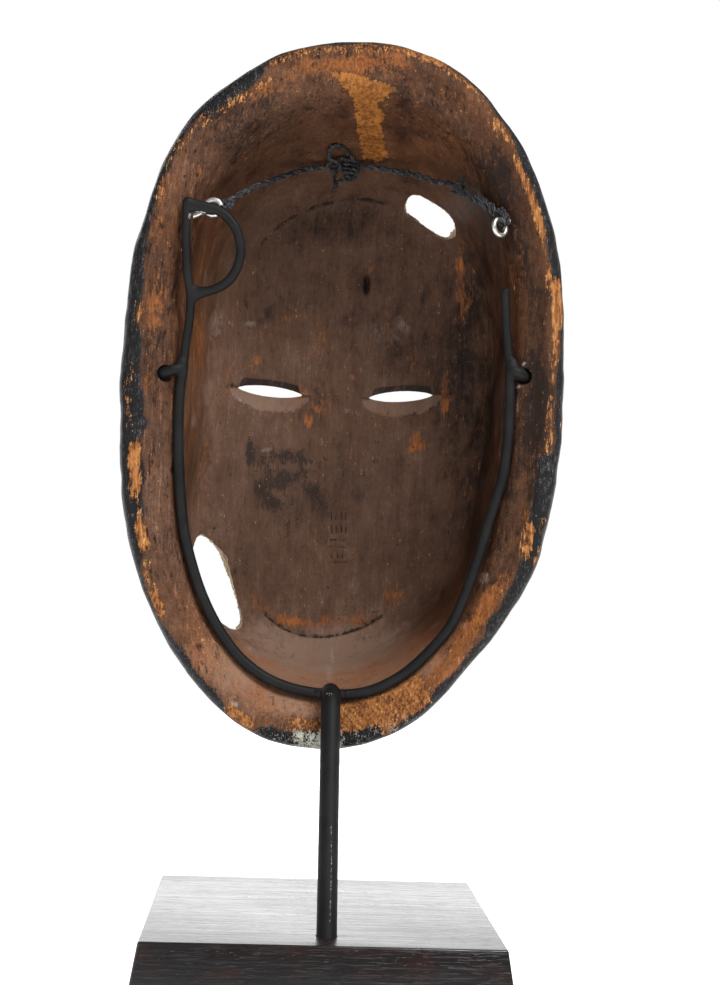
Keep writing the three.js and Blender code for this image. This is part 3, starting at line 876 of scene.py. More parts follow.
# The blank is a ball whose rings are drawn to the mask's profile: its top pole becomes the floor's
# centre and its bottom pole the middle of the face
def makeMaskBlank():
    around = maskSize["around"]
    columns = -2 * math.pi * np.arange(around) / around
    rings, zones = maskRings(columns)
    clearSelection()
    bpy.ops.mesh.primitive_uv_sphere_add(segments=around, ring_count=len(rings) + 1, radius=1)
    blank = bpy.context.object
    blank.name = "mask_carving"
    ball = meshPoints(blank)
    level = np.arccos(np.clip(ball[:, 2] / np.linalg.norm(ball, axis=1), -1, 1)) / math.pi * (len(rings) + 1)
    level = np.rint(level).astype(int) - 1
    column = np.rint(np.arctan2(ball[:, 1], ball[:, 0]) / (2 * math.pi) * around).astype(int) % around
    inside = (level >= 0) & (level < len(rings))
    ring = np.clip(level, 0, len(rings) - 1)
    radius, depth = rings[ring, 0, column], rings[ring, 1, column]
    theta = columns[column]
    points = np.stack([radius * np.cos(theta), depth, radius * np.sin(theta)], 1)
    points[level < 0] = (0, maskSize["floorCentreY"], 0)
    middle = facePoint(np.zeros(1), np.zeros(1))
    points[level >= len(rings)] = (0, float(middle[1][0]), 0)
    combed = np.array([zone == "side" for zone in zones])[ring] & inside
    combed &= column % maskSize["combSpacing"] == 0
    comb = combed * smoothStep(*maskSize["hairline"], np.sin(theta)) * smoothStep(-6, -14, depth)
    points[:, 0] -= comb * maskSize["combDepth"] * np.cos(theta)
    points[:, 2] -= comb * maskSize["combDepth"] * np.sin(theta)
    setMeshPoints(blank, (points + np.array([maskSize["x"], 0, maskSize["z"]])) * mm)
    keepValues(blank, "level", "FLOAT", level)
    return blank


# A value for each point of a mesh, kept as an attribute that its material can read
def keepValues(piece, name, kind, values):
    attribute = piece.data.attributes.new(name, kind, "POINT")
    field = "value" if kind == "FLOAT" else "vector"
    attribute.data.foreach_set(field, np.asarray(values, np.float32).ravel())


# Finer mesh where small carving shows: the eyes, the scratched marks and the pit
fineZones = [
    {"across": (222, 314), "down": (376, 424), "cuts": 1},
    {"across": (346, 444), "down": (380, 426), "cuts": 1},
    {"across": (322, 352), "down": (508, 566), "cuts": 2},
    {"across": (357, 378), "down": (262, 302), "cuts": 2},
]


def refineHollow(piece):
    for zone in fineZones:
        points = meshPoints(piece) / mm
        across, down = photoSpot(points)
        inside = (across > zone["across"][0]) & (across < zone["across"][1])
        inside &= (down > zone["down"][0]) & (down < zone["down"][1]) & (points[:, 1] > -104)
        selectFaces(piece, lambda face: all(inside[i] for i in face.vertices))
        bpy.ops.mesh.subdivide(number_cuts=zone["cuts"])
        bpy.ops.object.mode_set(mode="OBJECT")


# Distance of flat places (x, z) from the nearest of some straight strokes
def strokeDistance(x, z, strokes):
    nearest = np.full(len(x), 1e3)
    for (ax, az), (bx, bz) in strokes:
        dx, dz = bx - ax, bz - az
        t = np.clip(((x - ax) * dx + (z - az) * dz) / (dx * dx + dz * dz), 0, 1)
        nearest = np.minimum(nearest, np.hypot(x - ax - t * dx, z - az - t * dz))
    return nearest


# Rows of shallow strokes low on the floor, in pixels of the photograph
scratchSize = {
    "y": -96,
    "depth": 0.5,
    "halfWidth": 0.45,
    "darkHalfWidth": 0.6,
    "rows": [
        [(331, 513), (331.5, 520)], [(336, 512.5), (335.5, 520)], [(341, 513), (341.5, 519)],
        [(345.5, 513), (345, 520)], [(331, 526), (332, 533)], [(336, 526.5), (336, 533)],
        [(341, 526), (341.5, 532.5)], [(346, 527), (345.5, 533)], [(330, 540), (337, 540)],
        [(340, 541), (347, 540.5)], [(330, 547), (337, 547.5)], [(340, 547), (346, 547.5)],
        [(331, 553), (331.5, 558.5)], [(337, 552.5), (337, 558.5)], [(342.5, 553), (342, 558)],
        [(330, 563), (347, 562)],
    ],
}
gougeSize = {
    "scallop": 0.28,
    "scallopStretch": (0.085, 0.06, 0.05),
    # Unevenness of the hollow and of the front: height in mm, and bumps to the mm along X, Y and Z
    "hollowWaves": [(0.45, (0.04, 0.04, 0.022)), (0.10, (0.45, 0.45, 0.10))],
    "frontWaves": [(0.35, (0.06, 0.06, 0.06)), (0.12, (0.3, 0.3, 0.3))],
    "edgeGroove": 1.1,
    "edgeHalfWidth": 1.1,
    "upperLidDepth": 1.6,
    "rib": 0.2,
    # Cracks and grooves: across, down, half length, half width, turn in degrees, depth in mm
    "cuts": [
        (367, 285, 7, 2.2, 94, 4), (212, 480, 26, 0.9, 88, 0.7), (204, 430, 20, 1, 86, 0.5),
        (246, 305, 8, 1.2, 100, 0.7), (433, 281, 9, 1, -40, 0.8), (477, 281, 8, 0.9, 96, 0.8),
        (399, 55, 6, 1.3, 92, 1.8), (388, 58, 4, 0.8, 100, 0.8), (172, 576, 1.4, 1.3, 0, 2.2),
        (157, 576, 1.6, 1.4, 0, 1.6), (458, 428, 10, 1.1, 100, 0.9), (288, 601, 17, 0.8, 2, 0.5),
        (235, 378, 5, 0.8, 92, 0.6), (442, 438, 4, 1, 60, 0.8), (461, 262, 10, 1, 96, 0.5),
        (131, 405, 2, 1.6, 0, 0.8),
    ],
}


# Distance in mm from the rows of strokes on the floor
def scratchDistance(points):
    strokes = []
    for row in scratchSize["rows"]:
        start, end = (pointAt(across, down, scratchSize["y"]) for across, down in row)
        strokes.append(((start[0], start[2]), (end[0], end[2])))
    return strokeDistance(points[:, 0], points[:, 2], strokes)


# Soft spot on the photograph, turned by some degrees: 1 in its middle, near 0 past its half sizes
def spotMask(across, down, spot):
    cx, cy, halfLength, halfWidth, turn = spot[:5]
    c, s = math.cos(math.radians(turn)), math.sin(math.radians(turn))
    u = ((across - cx) * c + (down - cy) * s) / halfLength
    v = ((down - cy) * c - (across - cx) * s) / halfWidth
    return np.exp(-((u * u + v * v) ** 1.5) * 0.7)


# Facets below and above an eye slit, seen from the hollow: 0 at their edge, up to 1 at the slit
def lidValues(u, v):
    reach = np.sqrt(np.clip(1 - (u / eyeSize["hollowLength"]) ** 2, 0, 1))
    w = v - eyeSize["hollowMiddle"]
    foot = np.where(w < 0, reach - np.abs(w) / eyeSize["hollowHeight"], -1)
    top = np.where(w > 0, 1 - w / (6.8 * (0.3 + 0.7 * reach)) - smoothStep(15, 19, np.abs(u)) * 2, -1)
    return foot, top


# Places from the middle of each eye slit, along it and up from it
def eyePlaces(x, z):
    for side in (1, -1):
        u = x - side * eyeSize["x"]
        yield u, z - eyeSize["z"] - side * eyeSize["tilt"] * u


# How far the floor's edge is cut in as a line: a broken arc above, a longer one below
def floorArcs(theta):
    degrees = np.degrees(theta) % 360
    rough = 0.6 + 0.4 * np.sin(degrees * 0.9) * np.sin(degrees * 0.37 + 1)
    return between(degrees, 60, 66, 103, 108) * rough, between(degrees, 246, 262, 284, 293)


# The hollow's tool marks, eye hollows, edge groove, cracks and scratches, as moves along the normal
def carveHollow(piece):
    points = meshPoints(piece) / mm
    x, y, z = points[:, 0] - maskSize["x"], points[:, 1], points[:, 2] - maskSize["z"]
    theta, radius = np.arctan2(z, x), np.hypot(x, z)
    normals = meshNormals(piece)
    facingBack = smoothStep(-0.2, 0.3, normals[:, 1])
    hollow = (normals[:, 1] > -0.35) & (radius < rimRadius(theta) - 1.5)
    inward = -np.stack([np.cos(theta), np.zeros_like(theta), np.sin(theta)], 1)
    hollow &= (normals[:, 1] > 0.3) | ((normals * inward).sum(1) > 0.2)
    across, down = photoSpot(points)
    lift = np.zeros(len(points))
    for i, p in enumerate(points):
        if hollow[i]:
            nearest = noise.voronoi(Vector(p * gougeSize["scallopStretch"]))[0][0]
            lift[i] = gougeSize["scallop"] * (nearest - 0.4)
        for height, stretch in gougeSize["hollowWaves" if hollow[i] else "frontWaves"]:
            lift[i] += height * noise.noise(Vector(p * stretch))
    edge = ringValue(maskSize["floor"], theta)
    topArc, lowArc = floorArcs(theta)
    onFloor = hollow & (y < maskSize["floorZoneY"])
    groove = (0.5 * topArc + lowArc) * bump((radius - edge) / gougeSize["edgeHalfWidth"])
    lift -= onFloor * gougeSize["edgeGroove"] * groove
    for cut in gougeSize["cuts"]:
        lift -= hollow * cut[5] * spotMask(across, down, cut)
    inner = hollow & (facingBack > 0.5)
    for u, v in eyePlaces(x, z):
        foot, top = lidValues(u, v)
        lift -= inner * eyeSize["hollowDepth"] * np.clip(foot, 0, 1)
        ribs = 1 + gougeSize["rib"] * np.sin(u * 2.1)
        lift -= inner * gougeSize["upperLidDepth"] * np.clip(top, 0, 1) * ribs
    lift -= onFloor * scratchSize["depth"] * bump(scratchDistance(points) / scratchSize["halfWidth"])
    setMeshPoints(piece, (points + normals * lift[:, None]) * mm)


# Openings: eye slits, the two breaks, the pin holes and the screws' holes

openingSize = {
    # Rows round each break: pixels and depth of the wood's surface, then of the torn wall's far edge
    "upperBreak": [
        (412, 195, -77, 412, 195.5, -88), (419, 195, -75, 419, 195.5, -89),
        (425, 198, -75, 425, 198.3, -89), (432, 202, -75, 432, 202.3, -89),
        (440, 207, -75, 440, 207.4, -89), (446, 211.4, -75, 446, 211.8, -89),
        (450.5, 216.2, -76, 450.3, 216.5, -89), (453.6, 221.2, -77, 453.3, 221.5, -89),
        (455.3, 227, -78, 454.9, 227, -89), (456.1, 231.5, -79, 453.8, 230.8, -89),
        (455.6, 235, -81, 452.2, 233, -90), (453.5, 237.4, -83, 450.3, 235.6, -91),
        (450, 239.2, -85, 448.5, 237, -91), (445, 239.3, -87, 444.5, 235.7, -93),
        (439.5, 238.2, -88, 439.5, 234, -95), (435.5, 235.6, -88.5, 435.2, 232, -96),
        (431, 231.3, -88.5, 431, 230.2, -96), (425.5, 227.2, -89, 425.5, 226.8, -97),
        (420, 223.6, -89, 420.3, 222.6, -97), (416, 221.8, -89, 417, 219.5, -97),
        (411.5, 219.8, -89, 413.5, 216.6, -98), (407.5, 217.4, -89, 410, 214.4, -98),
        (405.3, 213.5, -88, 407.2, 212.3, -97), (404.7, 209, -87, 405.7, 208.5, -96),
        (405.2, 204.5, -85, 405.8, 204.5, -94), (407, 199.6, -81, 407.2, 200, -91),
        (409, 197, -78, 409.2, 197.3, -89),
    ],
    "lowerBreak": [
        (200.5, 533.8, -82, 200.5, 534.8, -91), (205, 535.6, -83, 204.5, 536.4, -92),
        (210, 539.4, -84.5, 208.6, 539.4, -95), (215, 544.2, -85.5, 213, 543.4, -96),
        (219.5, 548.8, -86, 216.6, 548, -97), (223.8, 553.2, -86.5, 219.6, 553, -98),
        (227, 558, -86.8, 222, 559, -98), (228.4, 564, -86.8, 224.2, 565, -97),
        (229.8, 570.5, -86.8, 226.4, 571, -97), (232, 578, -86.6, 229, 578, -97),
        (233.8, 586, -86.4, 231.7, 586, -96), (235.8, 594, -86, 234.6, 594, -95),
        (238.2, 602, -85.5, 236.8, 602, -94), (240.6, 610, -84.5, 238.9, 610, -93),
        (242, 617, -83, 240.2, 617, -92), (242.6, 623, -81.5, 239.8, 623, -91),
        (240.6, 627.6, -80, 237.6, 626.8, -91), (236.5, 630, -76, 234.6, 629, -90),
        (231, 629.2, -72, 230.5, 628.4, -89), (225.5, 626, -62, 225.5, 625.4, -88),
        (220, 621.6, -55, 220, 621.4, -88), (211, 613, -50, 211, 613, -88),
        (204.5, 600, -50, 204.5, 600, -88), (199.5, 588, -50, 199.5, 588, -88),
        (195, 575, -50, 195, 575, -88), (192, 562, -50, 192, 562, -88), (191.8, 553, -50, 191.8, 553, -88),
        (193.8, 546, -66, 193.8, 546, -88), (195.2, 540.5, -76, 195.2, 540.5, -89),
        (197.6, 536.2, -80, 197.6, 536.8, -90),
    ],
    "breakNear": -46,
    "tornStart": -76,
    "breakFar": -125,
    "breakPoints": 96,
    "splinters": 0.9,
    "splinterScale": 0.35,
    "splinterLevels": (3.1, 23.7, 44.3),
    # Depths between which the splinters fade out towards the eye
    "splinterFade": (-56, -78),
    "wallShake": 0.8,
    "pinHoles": [[(82.1, 8.6, 7.4), (0.64, -0.77, 0)], [(-84.9, 8.6, 12.9), (-0.64, -0.77, 0)]],
    "pinHoleRadius": 4.3,
    "pinHoleLength": 60,
    "screwHoleRadius": 1.45,
    "screwHoleLength": 13,
    "holeSides": 28,
    "slitNear": -70,
    "slitFar": -130,
    "slitPoints": 48,
}


# Solid through rings of points that lie one before the other, from behind the wood to before it
def openingCutter(rings):
    count = len(rings[0])
    clearSelection()
    bpy.ops.mesh.primitive_cylinder_add(vertices=count, radius=1, depth=1)
    cutter = bpy.context.object
    for _ in rings[2:]:
        selectFaces(cutter, lambda face: face.normal.z > 0.9)
        bpy.ops.mesh.extrude_region_move(TRANSFORM_OT_translate={"value": (0, 0, 1)})
        bpy.ops.object.mode_set(mode="OBJECT")
    ball = meshPoints(cutter)
    turn = np.rint(np.arctan2(ball[:, 1], ball[:, 0]) / (2 * math.pi) * count).astype(int) % count
    ring = np.rint(ball[:, 2] + 0.5).astype(int)
    setMeshPoints(cutter, np.array(rings)[ring, turn] * mm)
    if len(rings) > 2:
        for face in cutter.data.polygons:
            face.material_index = int(min(ring[list(face.vertices)]) > 0)
    faceOutwards(cutter)
    return cutter


# Closed smooth outline through rows of numbers, evenly spread
def roundedRows(rows, count):
    closed = [np.array(row, float) for row in rows]
    route = smoothRoute(closed[-2:] + closed + closed[:2], 0.5)
    lengths = np.concatenate([[0], np.cumsum(np.hypot(*np.diff(route[:, :2], axis=0).T))])
    ends = [i for i, p in enumerate(route) if np.allclose(p, closed[0], atol=1e-6)]
    wanted = np.linspace(lengths[ends[0]], lengths[ends[-1]], count, endpoint=False)
    return np.array([np.interp(wanted, lengths, column) for column in route.T]).T


# Eye slit about the mask's axis: an oval with pointed ends
def slitOutline(side):
    outline, count = [], openingSize["slitPoints"]
    for k in range(count):
        turn = 2 * math.pi * k / count
        along = eyeSize["halfLength"] * math.cos(turn)
        up = eyeSize["halfHeight"] * math.copysign(abs(math.sin(turn)) ** 1.4, math.sin(turn))
        rough = 0.12 * noise.noise(Vector((along * 0.5, side * 7, up)))
        height = eyeSize["z"] + up + rough + side * eyeSize["tilt"] * along
        outline.append([side * eyeSize["x"] + along, height])
    return outline


# Rings of a break: on through its torn wall behind the wood, at the surface, and up to the eye before it
def breakRings(name):
    rings = [[], [], []]
    for row in roundedRows(openingSize[name], openingSize["breakPoints"]):
        x, z = row[0] * openingSize["splinterScale"], row[1] * openingSize["splinterScale"]
        shake = Vector([noise.noise((x, level, z)) for level in openingSize["splinterLevels"]])
        shake *= openingSize["splinters"]
        shake *= float(smoothStep(*openingSize["splinterFade"], row[2]))
        wallShake = shake * openingSize["wallShake"]
        start = min(row[2], openingSize["tornStart"])
        surface = pointAt(row[0] + shake.x, row[1] + shake.y, start)
        wall = pointAt(row[3] + wallShake.z, row[4] + wallShake.x, row[5])
        reach = (openingSize["breakFar"] - start) / (row[5] - start)
        rings[0].append(surface + (wall - surface) * reach)
        rings[1].append(surface)
        rings[2].append(pointAt(row[0] + shake.x, row[1] + shake.y, openingSize["breakNear"]))
    return rings


def maskCutters():
    cutters = []
    axis = Vector((maskSize["x"], 0, maskSize["z"]))
    for side in (1, -1):
        near = [(x + axis.x, openingSize["slitNear"], z + axis.z) for x, z in slitOutline(side)]
        far = [(x, openingSize["slitFar"], z + eyeSize["rise"]) for x, _, z in near]
        cutters.append(openingCutter([far, near]))
    for name in ("upperBreak", "lowerBreak"):
        cutter = openingCutter(breakRings(name))
        for material in ("torn_wood", "carved_wood"):
            cutter.data.materials.append(bpy.data.materials[material])
        cutters.append(cutter)
    bores = []
    for start, way in openingSize["pinHoles"]:
        bores.append((Vector(start) + axis, way, openingSize["pinHoleRadius"], openingSize["pinHoleLength"]))
    for centre, shank, _ in eyeletSize["places"].values():
        start = Vector(centre) + Vector(shank).normalized() * (eyeletSize["radius"] + eyeletSize["wire"])
        bores.append((start, shank, openingSize["screwHoleRadius"], openingSize["screwHoleLength"]))
    for start, way, radius, length in bores:
        way = Vector(way).normalized()
        cutters.append(boreCutter(start + way * length / 2, way, radius, length, openingSize["holeSides"]))
    return cutters


def makeMask():
    mask = makeMaskBlank()
    for name in ("carved_wood", "torn_wood"):
        bpy.data.materials.new(name)
    mask.data.materials.append(bpy.data.materials["carved_wood"])
    print("mask blank drawn, faces", len(mask.data.polygons))
    refineHollow(mask)
    carveHollow(mask)
    carved = meshPoints(mask)
    levels = np.zeros(len(carved), np.float32)
    mask.data.attributes["level"].data.foreach_get("value", levels)
    for cutter in maskCutters():
        cutAway(mask, cutter, solver="MANIFOLD", material_mode="TRANSFER")
    mask.data.attributes.remove(mask.data.attributes["level"])
    smoothShade(mask, 48)
    print("mask carved, faces", len(mask.data.polygons), "volume in ml", round(volumeInside(mask)))
    return mask, carved, levels


mask, carvedPoints, carvedLevels = makeMask()
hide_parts("mask")
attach(mask, "root")


# Paint, bare wood, stains and scuffs of the mask, as they lie in the photograph

maskMarks = {
    # Inner edge of the rim's black paint: degrees round the rim from +X, and mm in from its outline
    "paintEdge": [
        (0, 11.2), (5, 10.5), (10, 10.2), (13, 9.8), (16, 7.8), (18.5, 6.2), (21, 6.5), (24, 8.2),
        (27.5, 9), (30, 8), (33, 6.5), (37.5, 6), (42.5, 5), (47.5, 5), (51, 6.2), (54, 4.8), (60, 4.5),
        (62.5, 12), (64.5, 7.5), (67, 11), (69, 8.5), (71, 10.5), (74, 7), (75.5, 2.5), (80, 2), (84, 1.5),
        (87, 3.5), (90, 3), (92.5, 2.5), (97.5, 2), (100, 0.4), (105, 1), (110, 2), (113, 2.6),
        (117.5, 3.4), (120, 3.4), (122.5, 5.5), (125, 7), (128, 8), (130, 7), (133, 6.5), (136, 5.5),
        (140, 7.5), (146, 7), (149, 6.5), (150.5, 4.5), (153, 1.5), (156, 1.5), (159, 2.5), (161, 4),
        (164, 3), (168, 3), (172, 5), (176, 5), (180, 4.3), (184, 5.5), (189, 4.5), (194, 5), (195, 10),
        (198, 11), (203, 11.5), (208, 11.5), (212.5, 11), (217.5, 7), (220, 9.5), (222, 10), (224, 8.5),
        (228, 8), (232, 7), (236, 8.5), (238, 5), (242, 5.5), (246, 5), (250, 7), (253, 4), (256, 5.5),
        (259, 3.5), (260.5, 1.5), (262, 9), (265, 10.5), (268, 11.5), (273, 11.5), (277, 7), (280, 7.8),
        (282, 4.5), (283.5, 0.5), (287.5, 0.5), (288.5, 3.5), (291, 6), (295, 4.5), (299, 6.5), (303, 5),
        (306.5, 2.5), (317, 2.5), (319, 6.5), (328, 11.5), (331, 11.5), (335, 13), (338, 13), (342, 11.5),
        (346, 11), (349, 14), (352, 12.5), (356, 12.5), (360, 11.2),
    ],
    # Bare orange wood of the rim: from and to in degrees, from and to in mm in from the outline, strength
    "bareStrips": [
        (0, 6, 2, 8.5, 0.35), (8, 14, 1.5, 7, 0.2), (17.5, 22, 5.5, 9.5, 0.7), (28, 33, 8, 10, 0.3),
        (32, 34, 1, 3, 0.4), (38, 46, 6, 8.5, 0.4), (45, 49, 3, 9, 0.7), (49, 56, 2, 5, 0.45),
        (53, 61, 5, 8, 0.5), (60.5, 62, 4, 11, 0.8), (64, 68, 9, 13, 0.6), (66, 76, 10, 13, 0.65),
        (75, 83, 2, 6.5, 0.6), (83, 90, 3, 8, 0.5), (90, 96, 2, 8, 0.6), (95, 106, 0.5, 6, 0.75),
        (104, 112, 3, 6, 0.75), (112, 118, 4.4, 7, 0.6), (117, 119, 4.6, 11, 0.8), (119, 124, 5, 8, 0.8),
        (124, 133, 7, 11, 0.9), (130, 140, 6, 10.5, 1), (140, 146, 7.5, 10, 0.3), (145.5, 149, 7, 9.5, 0.9),
        (147, 151, 8, 11, 0.6), (149.5, 161, 2, 8, 1), (158, 170, 4, 6.5, 0.9), (155, 180, 6, 8, 0.6),
        (172, 176, 2, 3, 0.2), (180, 194, 5.5, 10, 0.45), (182, 192, 1, 1.8, 0.4), (210, 213, 3, 6, 0.7),
        (215, 220, 1.5, 4, 0.7), (212.5, 219.5, 6.5, 12.5, 0.85), (224, 232, 9, 14, 0.15),
        (228, 236, 8, 16, 0.2), (238, 248, 5, 11, 0.3), (244, 256, 6, 13, 0.3), (252, 262, 4, 20, 0.8),
        (258, 270, 8, 22, 0.8), (259.5, 261.5, 1, 8, 0.9), (270, 278, 8, 15, 0.7), (283, 288, 1, 7, 0.9),
        (285, 287, 12, 15, 0.4), (290, 300, 14, 22, 0.3), (307, 312, 2.5, 8, 0.95), (311, 317, 3.5, 8, 0.6),
        (319, 326, 5, 11, 1), (326, 331, 8, 10, 0.6), (331.5, 345, 5, 11, 1), (336, 340, 9, 15, 0.3),
        (344, 352, 4, 8, 0.25), (352, 360, 3, 6, 0.5),
    ],
    # Cream clay that reaches over the rim: from and to in degrees, depth in mm, strength
    "creamRim": [
        (267, 277, 11, 0.6), (276, 281, 7, 0.34), (254, 267, 10, 0.3),
    ],
    # Patch of gold-brown wood below the crown, as pixels along its outline
    "goldPatch": [
        (334, 70), (388, 84), (396, 90), (384, 98), (378, 106), (386, 116), (381, 124), (384, 140),
        (387, 156), (380, 162), (370, 161), (363, 158), (360, 142), (358, 130), (357, 118), (354, 100),
        (348, 90), (338, 80), (332, 74),
    ],
    # Spots: pixels across and down, half length and half height, turn in degrees, strength
    "sootAndShade": [
        (285, 474, 46, 34, 5, 0.42), (300, 540, 60, 30, 0, 0.2), (330, 240, 60, 30, 0, 0.15),
        (310, 108, 6, 3, -5, 0.9), (288, 83, 6, 2, 10, 0.6), (279, 94, 5, 2, 0, 0.6),
        (269, 112, 2, 2, 0, 0.7), (335, 100, 1.5, 1.5, 0, 0.7), (297, 207, 3, 2, -20, 0.8),
        (384, 86, 12, 5, 10, 0.6), (383, 178, 3, 4, 0, 0.5), (390, 194, 4, 4, 0, 0.5),
        (375, 192, 3, 3, 0, 0.5), (401, 179, 2, 3, 0, 0.4), (436, 191, 3, 2, 30, 0.6),
        (440, 170, 3, 2, 50, 0.5), (250, 452, 5, 12, 0, 0.8), (292, 457, 16, 7, 5, 0.75),
        (284, 478, 18, 8, -8, 0.6), (310, 490, 10, 8, 0, 0.5), (258, 490, 6, 7, 0, 0.6),
        (270, 505, 20, 6, 0, 0.35), (320, 505, 8, 10, 0, 0.5), (230, 520, 6, 12, 0, 0.3),
        (377, 442, 4, 2.5, 0, 0.55), (375, 461, 4.5, 3.5, 0, 0.6), (442, 438, 2, 4, -20, 0.7),
        (431, 458, 1.5, 3, 0, 0.6), (458, 430, 3, 9, -10, 0.5), (382, 518, 3, 3, 0, 0.5),
        (348, 369, 2, 2, 0, 0.6), (433, 281, 7, 2, -38, 0.5), (477, 281, 1.6, 7, -5, 0.8),
        (172, 576, 1.8, 2, 0, 1), (157, 576, 2.6, 2.6, 0, 0.8), (265, 582, 4, 9, 0, 0.35),
        (288, 601, 18, 1.5, -1, 0.6), (300, 628, 16, 4, 5, 0.3), (262, 614, 8, 4, 40, 0.25),
        (330, 600, 60, 14, 0, 0.12), (380, 608, 17, 3, -40, 0.34), (246, 304, 1.5, 6, -15, 0.7),
        (212, 480, 1.5, 12, 3, 0.8), (212, 440, 1.3, 10, 0, 0.5), (231, 386, 4, 3, 0, 0.5),
        (551, 297, 4, 11, -20, 0.9), (366, 285, 4.4, 11, 5, 0.9),
    ],
    # Dust; the two spots above the right eye are a painted sheen, and the thin one at the left end of the
    # left eye is a painted highlight
    "dustAndSheen": [
        (216, 324, 8, 14, 10, 0.5), (206, 282, 3, 12, 0, 0.4), (250, 324, 5, 4, 0, 0.6),
        (232, 324, 3, 6, 0, 0.3), (194, 420, 3, 10, 5, 0.5), (202, 386, 2, 6, -15, 0.4),
        (266, 450, 7, 2.5, -10, 0.7), (340, 470, 3, 1.5, 40, 0.6), (248, 648, 3, 3, 40, 0.7),
        (255, 655, 2, 2, 40, 0.6), (331, 660, 2.5, 22, 5, 0.5), (300, 670, 60, 18, 0, 0.25),
        (240, 400, 8, 2, 25, 0.5), (385, 335, 20, 14, 20, 0.35), (403, 325, 6, 10, -30, 0.4),
        (352, 412, 12, 2.5, 15, 0.4), (518, 405, 1, 14, 3, 0.5), (530, 415, 3, 12, 5, 0.3),
        (483, 482, 3, 8, 0, 0.3), (483, 578, 6, 8, -35, 0.5), (464, 626, 6, 6, -35, 0.4),
        (235, 705, 2, 3, 0, 0.8), (300, 712, 60, 16, 8, 0.3), (524, 364, 2, 2, 0, 1.3),
        (518, 386, 2.5, 1.5, 0, 1.3), (301, 252, 2, 5, 0, 0.5), (475, 300, 5, 20, 5, 0.2),
    ],
    # Flecks and, after them, wider areas where the old brown is rubbed to a reddish orange
    "flecks": [
        (257, 360, 6, 4, 0, 0.6), (317, 408, 4, 5, 0, 0.6), (308, 422, 4, 6, -10, 1),
        (291, 420, 1.5, 1.5, 0, 0.9), (264, 326, 3, 3, 0, 0.4), (298, 316, 14, 4, -10, 0.35),
        (371, 269, 6, 5, 0, 0.6), (412, 371, 2.5, 12, 0, 0.6), (352, 378, 5, 4, 40, 0.6),
        (416, 440, 6, 13, 0, 0.8), (411, 450, 3, 4, 0, 0.8), (444, 405, 4, 22, 2, 0.55),
        (456, 418, 2, 3, 0, 0.6), (395, 455, 8, 3, -10, 0.4), (425, 446, 10, 3, 0, 0.4),
        (461, 262, 1.5, 9, 5, 0.6), (406, 359, 3, 3, 0, 0.5), (245, 165, 10, 10, 0, 0.3),
        (200, 176, 8, 12, 0, 0.35), (290, 622, 10, 3, 0, 0.5), (314, 626, 8, 3, 0, 0.5),
        (250, 600, 10, 8, 30, 0.3),
    ],
    "rubbed": [
        (155, 330, 9, 60, 3, 0.5), (150, 470, 7, 40, -2, 0.4), (200, 350, 14, 40, 5, 0.5),
        (205, 470, 10, 60, 0, 0.35), (190, 600, 10, 40, -20, 0.3), (230, 250, 10, 30, 10, 0.35),
        (250, 150, 40, 14, -30, 0.2), (280, 84, 50, 9, -20, 0.45), (440, 90, 40, 8, 30, 0.3),
        (515, 260, 8, 60, -8, 0.3), (447, 420, 12, 50, 0, 0.35), (420, 460, 18, 18, 0, 0.3),
        (300, 340, 30, 20, 0, 0.2), (320, 400, 10, 40, 0, 0.3), (330, 621, 60, 7, 0, 0.6),
        (282, 616, 24, 6, 18, 0.5), (380, 604, 18, 8, -35, 0.3), (395, 594, 14, 18, 30, 0.35),
        (462, 640, 10, 62, 36, 0.6), (490, 600, 10, 40, 30, 0.5), (420, 690, 50, 14, -28, 0.5),
        (285, 715, 40, 10, 10, 0.3), (290, 700, 36, 8, 12, 0.3), (245, 366, 18, 9, 0, 0.42),
        (232, 400, 8, 22, 0, 0.3), (302, 392, 8, 14, 0, 0.35), (332, 385, 26, 40, 0, 0.15),
        (530, 480, 7, 60, 3, 0.4), (345, 62, 66, 10, 0, 0.52), (372, 66, 34, 16, 0, 0.36),
        (262, 690, 40, 12, 25, 0.1), (160, 210, 10, 50, 18, 0.4), (300, 175, 60, 12, -10, 0.1),
        (460, 280, 5, 40, 0, 0.45), (468, 292, 6, 26, 5, 0.4), (458, 268, 5, 8, 0, 0.4),
        (360, 330, 80, 50, 0, 0.1), (280, 560, 60, 40, 0, 0.15), (395, 52, 30, 6, 5, 0.4),
        (350, 82, 20, 14, 0, 0.4),
    ],
    # Places where the walls are as grey as the floor
    "greyer": [
        (330, 665, 120, 40, 0, 0.35), (150, 520, 40, 120, 0, 0.5), (250, 690, 80, 40, 0, 0.2),
        (250, 140, 80, 50, -25, 0.55),
    ],
    # Lighter and darker areas of the old brown surface; partly painted light and shade, such as the lower
    # wall, painted much lighter where light from above falls on it
    "tones": [
        (155, 330, 18, 150, 0, -0.45), (170, 560, 20, 80, 12, -0.3), (230, 130, 60, 60, -30, -0.35),
        (537, 430, 12, 110, 0, -0.9), (505, 205, 20, 70, -20, -0.7), (440, 120, 50, 45, 30, -0.3),
        (404, 122, 10, 42, 0, -0.5), (342, 122, 10, 40, 0, -0.35), (285, 78, 46, 10, -22, 0.2),
        (300, 130, 60, 40, -20, -0.1), (185, 260, 14, 70, 8, -0.3), (205, 640, 22, 60, -38, 0.4),
        (300, 705, 50, 12, 8, 0.8), (432, 600, 16, 20, 30, -0.35), (330, 520, 60, 60, 0, -0.1),
        (340, 220, 80, 22, 0, -0.4), (330, 662, 105, 32, 0, 1.8), (245, 690, 60, 25, 30, 0.35),
        (175, 560, 22, 60, 15, 0.2), (535, 300, 12, 60, 0, -0.1), (485, 400, 36, 150, 0, -0.8),
        (475, 530, 25, 50, -25, -0.35), (500, 200, 40, 80, 15, -0.35), (430, 340, 50, 50, 0, -0.35),
        (330, 280, 90, 70, 0, -0.2), (205, 400, 22, 110, 0, 0.2), (345, 60, 60, 12, 0, -0.4),
    ],
    # Tool marks at the foot of the rim, and a livelier part of the lower wall
